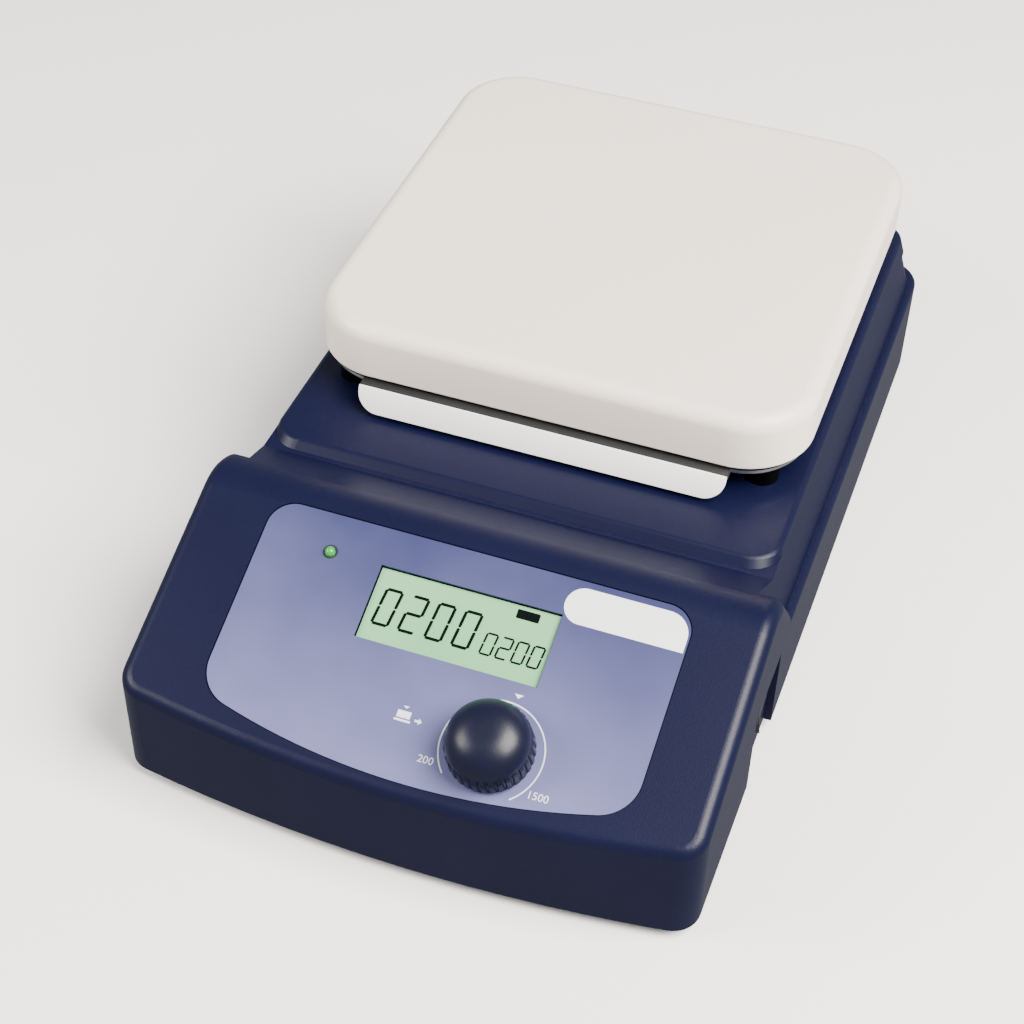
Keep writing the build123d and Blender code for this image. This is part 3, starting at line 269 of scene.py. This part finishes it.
# ---------------------------------------------------------------- control panel film
# The panel is a polyester film printed violet-blue on its back and glued into a shallow recess.
# Its face is a fine matt with soft cloudy haze patches, and a painted sheen makes it paler toward the
# bottom edge.
film_ink = colour("22264F")
film_sheen_and_haze_colour = colour("64668E")
film_sheen_bottom = 0.85
film_cloud_scale = 22.0
film_cloud_depth = 0.3
film_grain_mm = 0.5
film, film_place = new_material("Polyester film printed violet blue")
film_low, film_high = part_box("panel_overlay")
film_axes = add_node(film, "ShaderNodeSeparateXYZ", {"Vector": film_place})
# Painted sheen: the colour runs toward the pale tone down the slope, standing in for the light's
# reflection.
film_sheen_run = add_node(
    film,
    "ShaderNodeMapRange",
    {
        "Value": film_axes.outputs[1],
        "From Min": film_high[1],
        "From Max": film_low[1],
        "To Max": film_sheen_bottom,
    },
)
film_clouds = add_node(
    film, "ShaderNodeTexNoise", {"Vector": film_place, "Scale": film_cloud_scale, "Detail": 3.0}
)
film_cloud_share = add_node(
    film,
    "ShaderNodeMapRange",
    {
        "Value": film_clouds.outputs[0],
        "From Min": 0.3,
        "From Max": 0.7,
        "To Max": film_cloud_depth,
    },
)
film_sheen_and_haze = add_node(
    film, "ShaderNodeMath", {0: film_sheen_run.outputs[0], 1: film_cloud_share.outputs[0]}, operation="ADD"
)
film_tone = add_node(
    film,
    "ShaderNodeMix",
    {0: film_sheen_and_haze.outputs[0], 6: film_ink, 7: film_sheen_and_haze_colour},
    data_type="RGBA",
)
film_grain = add_node(
    film, "ShaderNodeTexNoise", {"Vector": film_place, "Scale": 1 / (film_grain_mm * MM), "Detail": 3.0}
)
film_gloss = add_node(
    film, "ShaderNodeMapRange", {"Value": film_grain.outputs[0], "To Min": 0.38, "To Max": 0.5}
)
film_bump = add_node(
    film, "ShaderNodeBump", {"Height": film_grain.outputs[0], "Distance": 0.012 * MM, "Strength": 0.7}
)
output(
    film,
    Base_Color=film_tone.outputs[2],
    Roughness=film_gloss.outputs[0],
    Normal=film_bump.outputs[0],
    IOR=1.6,
    Specular_IOR_Level=0.15,
)
give(film, "panel_overlay")

# ---------------------------------------------------------------- places on the panel
# Everything on the head is placed from the knob's hinge: its axis is square to the panel, and the
# panel's other two directions are across the body (x) and up the slope (s).
knob_joint = next(joint for joint in frame["joints"] if joint["name"] == "knob_turn")
normal = Vector(knob_joint["axis"]).normalized()
up_slope = normal.cross(Vector((1, 0, 0)))
panel = Matrix((Vector((1, 0, 0)), up_slope, normal)).transposed().to_4x4()
panel.translation = Vector(knob_joint["pos_m"])
film_top = -0.2
glass_top = -1.4


def only(piece):
    """Make one object the active and the only selected one."""
    bpy.ops.object.select_all(action="DESELECT")
    piece.select_set(True)
    bpy.context.view_layer.objects.active = piece


def panel_place(node):
    """Middle of a CAD node across the panel and up its slope, in millimetres from the knob."""
    low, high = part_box(node)
    middle = (Vector(low) + Vector(high)) / 2
    local = panel.inverted() @ middle
    return local.x / MM, local.y / MM


def settle(piece, matrix):
    """Put a piece where the matrix says, with its place in its mesh and its origin at zero."""
    only(piece)
    piece.matrix_world = matrix
    bpy.ops.object.transform_apply(location=True, rotation=True, scale=True)


def on_panel(piece, x, s, height):
    """Set a piece drawn flat, in metres, on the panel at x and s from the knob's axis."""
    settle(piece, panel @ Matrix.Translation((x * MM, s * MM, height * MM)))


def pick(piece, kind, test):
    """In edit mode, select only the vertices, edges or faces whose centre passes a test."""
    mesh = bmesh.from_edit_mesh(piece.data)
    bpy.ops.mesh.select_all(action="DESELECT")
    for item in getattr(mesh, kind):
        if kind == "verts":
            centre = item.co
        elif kind == "edges":
            centre = (item.verts[0].co + item.verts[1].co) / 2
        else:
            centre = item.calc_center_median()
        if test(centre):
            item.select = True
    mesh.select_flush_mode()
    bmesh.update_edit_mesh(piece.data)


def thicken(piece, thickness_mm):
    """Give flat work its real thickness, upwards from where it lies."""
    only(piece)
    solid = piece.modifiers.new("thickness", "SOLIDIFY")
    solid.thickness = thickness_mm * MM
    solid.offset = 1.0
    bpy.ops.object.modifier_apply(modifier=solid.name)


def belongs(piece, name, material, body):
    """Name a finished piece, give it its material, and make it ride on its body."""
    piece.name = name
    piece.data.materials.clear()
    piece.data.materials.append(material)
    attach(piece, body)


# ---------------------------------------------------------------- printing on the film
# Screen-printed white ink: the knob's speed arc, its end numbers, a pointer and a plain button
# mark. The numbers are the stirring speeds at the ends of the knob's scale.
ink_height = 0.03
arc_radius = 13.9
arc_width = 0.38
arc_steps = 180
arc_gap_from = math.radians(222)
arc_gap_to = math.radians(308)
white_ink = moulded("Screen ink white", "DDE0EA", "CDD1DE", 0.5, 0.4, 0.01, IOR=1.5)

bpy.ops.object.select_all(action="DESELECT")
bpy.ops.mesh.primitive_circle_add(vertices=arc_steps, radius=arc_radius * MM, fill_type="NOTHING")
arc = bpy.context.active_object
bpy.ops.object.mode_set(mode="EDIT")
bpy.ops.mesh.select_all(action="SELECT")
bpy.ops.mesh.extrude_edges_move()
ring = 1 + arc_width / arc_radius
bpy.ops.transform.resize(value=(ring, ring, 1), center_override=(0, 0, 0))
pick(arc, "faces", lambda c: arc_gap_from < math.atan2(c.y, c.x) % math.tau < arc_gap_to)
bpy.ops.mesh.delete(type="FACE")
bpy.ops.mesh.select_all(action="SELECT")
bpy.ops.mesh.normals_make_consistent(inside=False)
bpy.ops.object.mode_set(mode="OBJECT")
thicken(arc, ink_height)
on_panel(arc, 0, 0, film_top)
belongs(arc, "speed_arc", white_ink, "root")


def number(words, name, size, x, s):
    """A printed number: text made a mesh, then laid on the film."""
    bpy.ops.object.select_all(action="DESELECT")
    bpy.ops.object.text_add()
    label = bpy.context.active_object
    label.data.body = words
    label.data.size = size * MM
    label.data.align_x = "CENTER"
    label.data.align_y = "CENTER"
    label.data.resolution_u = 4
    bpy.ops.object.convert(target="MESH")
    label = bpy.context.active_object
    thicken(label, ink_height)
    on_panel(label, x, s, film_top)
    belongs(label, name, white_ink, "root")


number("200", "speed_low", 3.0, -15.8, -7.4)
number("1500", "speed_high", 3.0, 15.6, -8.4)


def flat_shape(corners, rounded=(), segments=8):
    """A flat plate with given corners, in millimetres, some of them rounded."""
    bpy.ops.object.select_all(action="DESELECT")
    bpy.ops.mesh.primitive_circle_add(vertices=len(corners), radius=MM, fill_type="NGON")
    plate = bpy.context.active_object
    for vertex, (x, y) in zip(plate.data.vertices, corners):
        vertex.co = (x * MM, y * MM, 0)
    bpy.ops.object.mode_set(mode="EDIT")
    bpy.ops.mesh.select_all(action="SELECT")
    bpy.ops.mesh.normals_make_consistent(inside=False)
    for index, round_mm in rounded:
        corner = Vector((corners[index][0] * MM, corners[index][1] * MM, 0))
        pick(plate, "verts", lambda c: (c - corner).length < 0.01 * MM)
        bpy.ops.mesh.bevel(offset=round_mm * MM, segments=segments, affect="VERTICES")
    bpy.ops.object.mode_set(mode="OBJECT")
    if plate.data.polygons[0].normal.z < 0:
        plate.data.flip_normals()
    return plate


pointer = flat_shape([(-1.3, 0.6), (0.0, -0.6), (1.3, 0.6)])
thicken(pointer, ink_height)
on_panel(pointer, 2.0, 16.2, film_top)
belongs(pointer, "scale_pointer", white_ink, "root")

button_mark = flat_shape([(-1.9, 0.2), (1.9, 0.2), (1.9, 2.2), (-1.9, 2.2)])
button_base = flat_shape([(-2.3, -0.8), (2.3, -0.8), (2.3, -0.2), (-2.3, -0.2)])
button_arrow = flat_shape(
    [(3.3, 0.1), (4.4, 0.1), (4.4, -0.5), (5.4, 0.4), (4.4, 1.3), (4.4, 0.7), (3.3, 0.7)]
)
button_point = flat_shape([(-0.8, 3.6), (0.0, 2.9), (0.8, 3.6)])
only(button_mark)
for mark in (button_base, button_arrow, button_point):
    mark.select_set(True)
bpy.ops.object.join()
thicken(button_mark, ink_height)
on_panel(button_mark, -25.6, 1.6, film_top)
belongs(button_mark, "push_mark", white_ink, "root")

# ---------------------------------------------------------------- blank label
# A white polyester label with one round end runs to the film's right edge. It is left blank.
label_left = 5.2
label_right = 39.6
label_low = 40.0
label_high = 50.6
label_thickness = 0.08
label_white = moulded("Polyester label white", "F1F2F4", "E6E8EC", 0.32, 0.6, 0.01, IOR=1.55)
label_half = (label_high - label_low) / 2
blank = flat_shape(
    [
        (label_left, label_low),
        (label_right, label_low),
        (label_right, label_high),
        (label_left, label_high),
    ],
    rounded=((0, label_half - 0.02), (3, label_half - 0.02), (2, 6.5)),
    segments=14,
)
thicken(blank, label_thickness)
on_panel(blank, 0, 0, film_top)
belongs(blank, "blank_label", label_white, "root")

# ---------------------------------------------------------------- display
# A reflective liquid crystal cell sits under the film's window. Its back is grey-green, and each
# dark segment stands a little above that back, so it drops a faint shadow beside itself.
lcd_x, lcd_s = panel_place("lcd_glass")
window_width = 52.4
window_height = 21.7
crystal = moulded(
    "Liquid crystal glass grey green", "7BB384", "67986E", 0.22, 3.0, 0.004, patch_mm=45.0, IOR=1.52,
    Specular_IOR_Level=0.12,
)
segment_ink = moulded(
    "Liquid crystal segment dark", "050A09", "08110E", 0.3, 1.0, 0.004, Specular_IOR_Level=0.1
)
give(crystal, "lcd_glass")

segment_places = {
    "top": (0.0, 1.0, 0), "middle": (0.0, 0.0, 0), "bottom": (0.0, -1.0, 0),
    "upper_left": (-1.0, 0.5, 90), "upper_right": (1.0, 0.5, 90),
    "lower_left": (-1.0, -0.5, 90), "lower_right": (1.0, -0.5, 90),
}
lit = {
    "0": ("top", "bottom", "upper_left", "upper_right", "lower_left", "lower_right"),
    "2": ("top", "upper_right", "middle", "lower_left", "bottom"),
}
slant = math.radians(5)
segment_lift = 0.12
segment_thickness = 0.04
segment_gap = 0.1
badge_corner = 0.4


def readout(name, digits, left, bottom, width, height, pitch, stroke):
    """A row of seven-segment digits: a pointed bar modelled for each lit place, then joined into one piece.
    """
    made = []
    for turn, digit in enumerate(digits):
        for key in lit[digit]:
            along_x, along_y, turned = segment_places[key]
            length = height / 2 if turned else width
            bpy.ops.object.select_all(action="DESELECT")
            bpy.ops.mesh.primitive_circle_add(vertices=6, radius=stroke / 2 * MM, fill_type="NGON")
            bar = bpy.context.active_object
            bpy.ops.object.mode_set(mode="EDIT")
            bpy.ops.mesh.select_all(action="SELECT")
            bpy.ops.transform.rotate(value=math.pi / 6, orient_axis="Z", center_override=(0, 0, 0))
            reach = (length / 2 - stroke / 2 - segment_gap) * MM
            for side in (-1, 1):
                pick(bar, "verts", lambda c: c.x * side > 0.01 * stroke * MM)
                bpy.ops.transform.translate(value=(side * reach, 0, 0))
            bpy.ops.object.mode_set(mode="OBJECT")
            x = (along_x * width / 2) * MM
            y = (along_y * height / 2) * MM
            turn_bar = Matrix.Rotation(math.radians(turned), 4, "Z")
            settle(bar, Matrix.Translation((x, y, 0)) @ turn_bar)
            lean = Matrix.Identity(4)
            lean[0][1] = math.tan(slant)
            bar.data.transform(lean)
            middle_x = (left + width / 2 + turn * pitch) * MM
            bar.data.transform(Matrix.Translation((middle_x, (bottom + height / 2) * MM, 0)))
            made.append(bar)
    bpy.ops.object.select_all(action="DESELECT")
    for bar in made:
        bar.select_set(True)
    bpy.context.view_layer.objects.active = made[0]
    bpy.ops.object.join()
    row = bpy.context.active_object
    thicken(row, segment_thickness)
    on_panel(row, lcd_x - window_width / 2, lcd_s - window_height / 2, glass_top + segment_lift)
    belongs(row, name, segment_ink, "root")


readout("display_speed", "0200", 3.4, 5.4, 4.5, 10.4, 7.7, 0.95)
readout("display_setting", "0200", 34.3, 5.3, 3.0, 6.1, 4.45, 0.6)
badge = flat_shape(
    [(40.2, 17.7), (46.6, 17.7), (46.6, 20.3), (40.2, 20.3)], rounded=((0, badge_corner), (2, badge_corner))
)
thicken(badge, segment_thickness)
on_panel(badge, lcd_x - window_width / 2, lcd_s - window_height / 2, glass_top + segment_lift)
belongs(badge, "display_badge", segment_ink, "root")

# ---------------------------------------------------------------- lamp
# A green-tinted lamp lens stands in a hole in the film, in a thin dark collar.
lamp_glass = moulded("Polycarbonate tinted green", "2F8F3C", "49A552", 0.18, 2.0, 0.004, IOR=1.58)
give(lamp_glass, "lamp_lens")
lamp_x, lamp_s = panel_place("lamp_lens")
collar_inner = 1.72
collar_width = 0.42
collar_height = 0.15
bpy.ops.object.select_all(action="DESELECT")
bpy.ops.mesh.primitive_circle_add(vertices=48, radius=collar_inner * MM, fill_type="NOTHING")
collar = bpy.context.active_object
bpy.ops.object.mode_set(mode="EDIT")
bpy.ops.mesh.select_all(action="SELECT")
bpy.ops.mesh.extrude_edges_move()
grow = 1 + collar_width / collar_inner
bpy.ops.transform.resize(value=(grow, grow, 1), center_override=(0, 0, 0))
bpy.ops.mesh.select_all(action="SELECT")
bpy.ops.mesh.normals_make_consistent(inside=False)
bpy.ops.object.mode_set(mode="OBJECT")
thicken(collar, collar_height)
on_panel(collar, lamp_x, lamp_s, film_top)
belongs(collar, "lamp_collar", thermoset, "root")

# ---------------------------------------------------------------- knob
# The knob is moulded ABS in a darker navy: a domed cap over a skirt with a ring of finger flutes.
# It takes the place of the simpler fluted knob of the solid model, at the same size.
knob_abs = moulded(
    "ABS moulded satin dark navy", "070A20", "0B0F2A", 0.36, 0.5, 0.03, IOR=1.54, Specular_IOR_Level=0.3
)
flutes = 32
steps_per_flute = 8
flute_depth = 0.045
skirt_radius = 12.0
skirt_low = 1.0
skirt_high = 7.6
cap_radius = 11.35
cap_low = 8.1
cap_high = 15.0
profile = [
    (skirt_radius, skirt_low + 0.4),
    (skirt_radius - 0.1, 4.5),
    (skirt_radius - 0.25, skirt_high - 0.5),
]
profile += [(skirt_radius - 0.45, skirt_high), (cap_radius, cap_low)]
dome_steps = 14
dome_fullness = 0.72
dome_rise = 1.25
for step in range(1, dome_steps + 1):
    swing = math.pi / 2 * step / (dome_steps + 1)
    ring_radius = cap_radius * math.cos(swing) ** dome_fullness
    ring_height = cap_low + (cap_high - cap_low) * math.sin(swing) ** dome_rise
    profile.append((ring_radius, ring_height))
around = flutes * steps_per_flute
bpy.ops.object.select_all(action="DESELECT")
bpy.ops.mesh.primitive_circle_add(
    vertices=around, radius=(skirt_radius - 0.3) * MM, fill_type="NOTHING", location=(0, 0, skirt_low * MM)
)
knob = bpy.context.active_object
settle(knob, Matrix.Translation((0, 0, skirt_low * MM)))
bpy.ops.object.mode_set(mode="EDIT")
bpy.ops.mesh.select_all(action="SELECT")
last_radius, last_height = skirt_radius - 0.3, skirt_low
for ring_radius, ring_height in profile:
    bpy.ops.mesh.extrude_edges_move()
    ratio = ring_radius / last_radius
    bpy.ops.transform.resize(value=(ratio, ratio, 1), center_override=(0, 0, 0))
    bpy.ops.transform.translate(value=(0, 0, (ring_height - last_height) * MM))
    last_radius, last_height = ring_radius, ring_height
bpy.ops.mesh.edge_face_add()
bpy.ops.mesh.inset(thickness=last_radius * 0.5 * MM)
pick(knob, "verts", lambda c: c.z < (skirt_low + 0.01) * MM)
bpy.ops.mesh.edge_face_add()


def in_flute(centre):
    """True for skirt points in the hollow of a finger flute."""
    if not (skirt_low + 0.1) * MM < centre.z < (skirt_high + 0.1) * MM:
        return False
    phase = math.atan2(centre.y, centre.x) % math.tau * flutes / math.tau % 1.0
    return 0.3 < phase < 0.7


pick(knob, "verts", in_flute)
bpy.ops.transform.resize(value=(1 - flute_depth, 1 - flute_depth, 1), center_override=(0, 0, 0))
bpy.ops.mesh.select_all(action="SELECT")
bpy.ops.mesh.normals_make_consistent(inside=False)
bpy.ops.object.mode_set(mode="OBJECT")
bpy.ops.object.shade_smooth_by_angle(angle=math.radians(38))
on_panel(knob, 0, 0, 0)
belongs(knob, "knob_cap", knob_abs, "dial")
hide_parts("knob")

# ---------------------------------------------------------------- carrier, posts and seal
# The carrier is a tray of bright stainless sheet whose front tab carries a leaning white strip. It stands
# on posts coloured black as painted shade, and a wide black rubber ring seals it against the plate and also
# paints the shadow in the gap under the plate.
stainless = metal("Stainless sheet bright rolled", "F2F2F0", 0.3, 0.9, (0.08, 1.0, 1.0))
# The posts are coloured black as painted shade, where the gap under the plate is dark.
shade_black_steel = metal("Steel blackened", "141517", 0.55, 0.6, (1.0, 1.0, 0.2))
strip_white = moulded("ABS moulded gloss white", "FFFFFF", "FAFAF9", 0.25, 0.8, 0.01, IOR=1.54)
give(stainless, "plate_carrier")
give(shade_black_steel, "carrier_posts")
carrier_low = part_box("plate_carrier")[0]
plate_low, plate_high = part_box("top_plate")
plate_side = (plate_high[0] - plate_low[0]) / MM
plate_middle_y = (plate_high[1] + plate_low[1]) / 2
plate_corner = 21.0
tab_width = 112.0
tab_height = 8.0
tab_corner = 6.5
tab_lean = math.radians(24)
strip_thickness = 0.6
strip_above_seal = 1.2
seal_inset = 1.5
seal_and_shade_width = 16.0
seal_play = 0.1
rim_inset = 2.0
rim_width = 9.0
rim_drop = 1.5
rim_thickness = 1.4
flap_reach = 4.6
flap_thickness = 0.7
edge_round = 0.25


def soften(piece, radius_mm):
    """Round a piece's sharp edges a little, as moulding and pressing leave them."""
    only(piece)
    bevel = piece.modifiers.new("edges", "BEVEL")
    bevel.width = radius_mm * MM
    bevel.segments = 3
    bevel.limit_method = "ANGLE"
    bevel.angle_limit = math.radians(50)
    bpy.ops.object.modifier_apply(modifier=bevel.name)
    bpy.ops.object.shade_smooth_by_angle(angle=math.radians(35))


def square_ring(name, side, corner, width, low, thickness, material):
    """A flat rounded square ring under the plate, at a height above the table."""
    half = side / 2
    ring = flat_shape(
        [(-half, -half), (half, -half), (half, half), (-half, half)],
        rounded=tuple((index, corner) for index in range(4)),
        segments=14,
    )
    only(ring)
    bpy.ops.object.mode_set(mode="EDIT")
    bpy.ops.mesh.select_all(action="SELECT")
    bpy.ops.mesh.inset(thickness=width * MM)
    bpy.ops.mesh.delete(type="FACE")
    bpy.ops.object.mode_set(mode="OBJECT")
    thicken(ring, thickness)
    settle(ring, Matrix.Translation((0, plate_middle_y, low)))
    soften(ring, edge_round)
    belongs(ring, name, material, "root")
    return ring


# The seal ring is the real gasket made wide and black, so it also paints the shadow in the gap under the
# plate and over the carrier's flange.
seal_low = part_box("plate_gasket")[0][2]
seal_thickness = (plate_low[2] - seal_low) / MM - seal_play
seal = square_ring(
    "seal_ring",
    plate_side - 2 * seal_inset,
    plate_corner - seal_inset,
    seal_and_shade_width,
    seal_low,
    seal_thickness,
    rubber,
)
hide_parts("plate_gasket")
square_ring(
    "carrier_rim",
    plate_side - 2 * rim_inset,
    plate_corner - rim_inset,
    rim_width,
    seal_low - rim_drop * MM,
    rim_thickness,
    stainless,
)

strip = flat_shape(
    [
        (-tab_width / 2, 0),
        (tab_width / 2, 0),
        (tab_width / 2, tab_height),
        (-tab_width / 2, tab_height),
    ],
    rounded=((0, tab_corner), (1, tab_corner)),
    segments=12,
)
thicken(strip, strip_thickness)
tab_top = carrier_low[1]
strip_low = seal_low - (tab_height - strip_above_seal) * MM
strip_front = tab_top - tab_height * math.sin(tab_lean) * MM
lean = Matrix.Rotation(math.pi / 2 - tab_lean, 4, "X")
settle(strip, Matrix.Translation((0, strip_front, strip_low)) @ lean)
soften(strip, edge_round)
belongs(strip, "tab_strip", strip_white, "root")

# A black rubber sheet fills the step between the strip and the seal as painted shadow.
flap = flat_shape(
    [
        (-tab_width / 2, 0),
        (tab_width / 2, 0),
        (tab_width / 2, flap_reach),
        (-tab_width / 2, flap_reach),
    ]
)
thicken(flap, flap_thickness)
settle(flap, Matrix.Translation((0, tab_top, seal_low)))
soften(flap, edge_round)
belongs(flap, "seal_flap", rubber, "root")

# ---------------------------------------------------------------- power switch, inlet and fuse
# The rocker is glossy black nylon in a black frame. The appliance inlet and its fuse drawer are
# black thermoset, with zinc-plated screws and brass contacts.
give(moulded("Nylon moulded black", "151517", "1F1F22", 0.3, 0.5, 0.02, IOR=1.53), "switch_rocker")
give(thermoset, "mains_inlet", "fuse_drawer")

# ---------------------------------------------------------------- floor, light and camera
# The stirrer stands on a plain white bench top under a large soft light high on its right, with a
# smaller one on its left and an even white surround.
floor_material = moulded("Bench laminate white", "FFFFFF", "FDFDFC", 0.6, 4.0, 0.01, patch_mm=300.0)
bpy.ops.object.select_all(action="DESELECT")
bpy.ops.mesh.primitive_plane_add(size=8.0)
floor = bpy.context.active_object
floor.name = "bench_top"
floor.data.materials.append(floor_material)
# The floor is left out of reflections, so that the dark plastics stay dark.
floor.visible_glossy = False


def soft_light(name, place, aim, size, power, tint):
    """A square area light that faces a point."""
    light = bpy.data.objects.new(name, bpy.data.lights.new(name, "AREA"))
    bpy.context.scene.collection.objects.link(light)
    light.data.size = size
    light.data.energy = power
    light.data.color = colour(tint)[:3]
    light.location = place
    light.rotation_euler = (Vector(place) - Vector(aim)).to_track_quat("Z", "Y").to_euler()


soft_light("right_softbox", (0.72, -0.2, 1.0), (0, -0.02, 0), 0.8, 58.0, "FFFAF4")
soft_light("left_softbox", (-0.85, -0.55, 0.75), (0, 0, 0.03), 0.5, 14.0, "FFFBF6")

world = bpy.data.worlds.new("white_surround")
bpy.context.scene.world = world
world.use_nodes = True
world.node_tree.nodes["Background"].inputs["Color"].default_value = colour("FFFFFF")
world.node_tree.nodes["Background"].inputs["Strength"].default_value = 0.4

azimuth = math.radians(19.12)
elevation = math.radians(43.32)
roll = math.radians(1.43)
distance = 0.60535
aim = Vector((-0.00605, -0.02787, 0.03457))
back = Vector(
    (
        math.sin(azimuth) * math.cos(elevation),
        -math.cos(azimuth) * math.cos(elevation),
        math.sin(elevation),
    )
)
right = (-back).cross(Vector((0, 0, 1))).normalized()
up = right.cross(-back)
rolled_right = right * math.cos(roll) + up * math.sin(roll)
rolled_up = up * math.cos(roll) - right * math.sin(roll)
camera = bpy.data.objects.new("camera", bpy.data.cameras.new("camera"))
bpy.context.scene.collection.objects.link(camera)
camera.data.lens = 71.74
camera.data.sensor_width = 36.0
camera.data.clip_start = 0.01
camera.matrix_world = Matrix((rolled_right, rolled_up, back)).transposed().to_4x4()
camera.location = aim + back * distance
bpy.context.scene.camera = camera
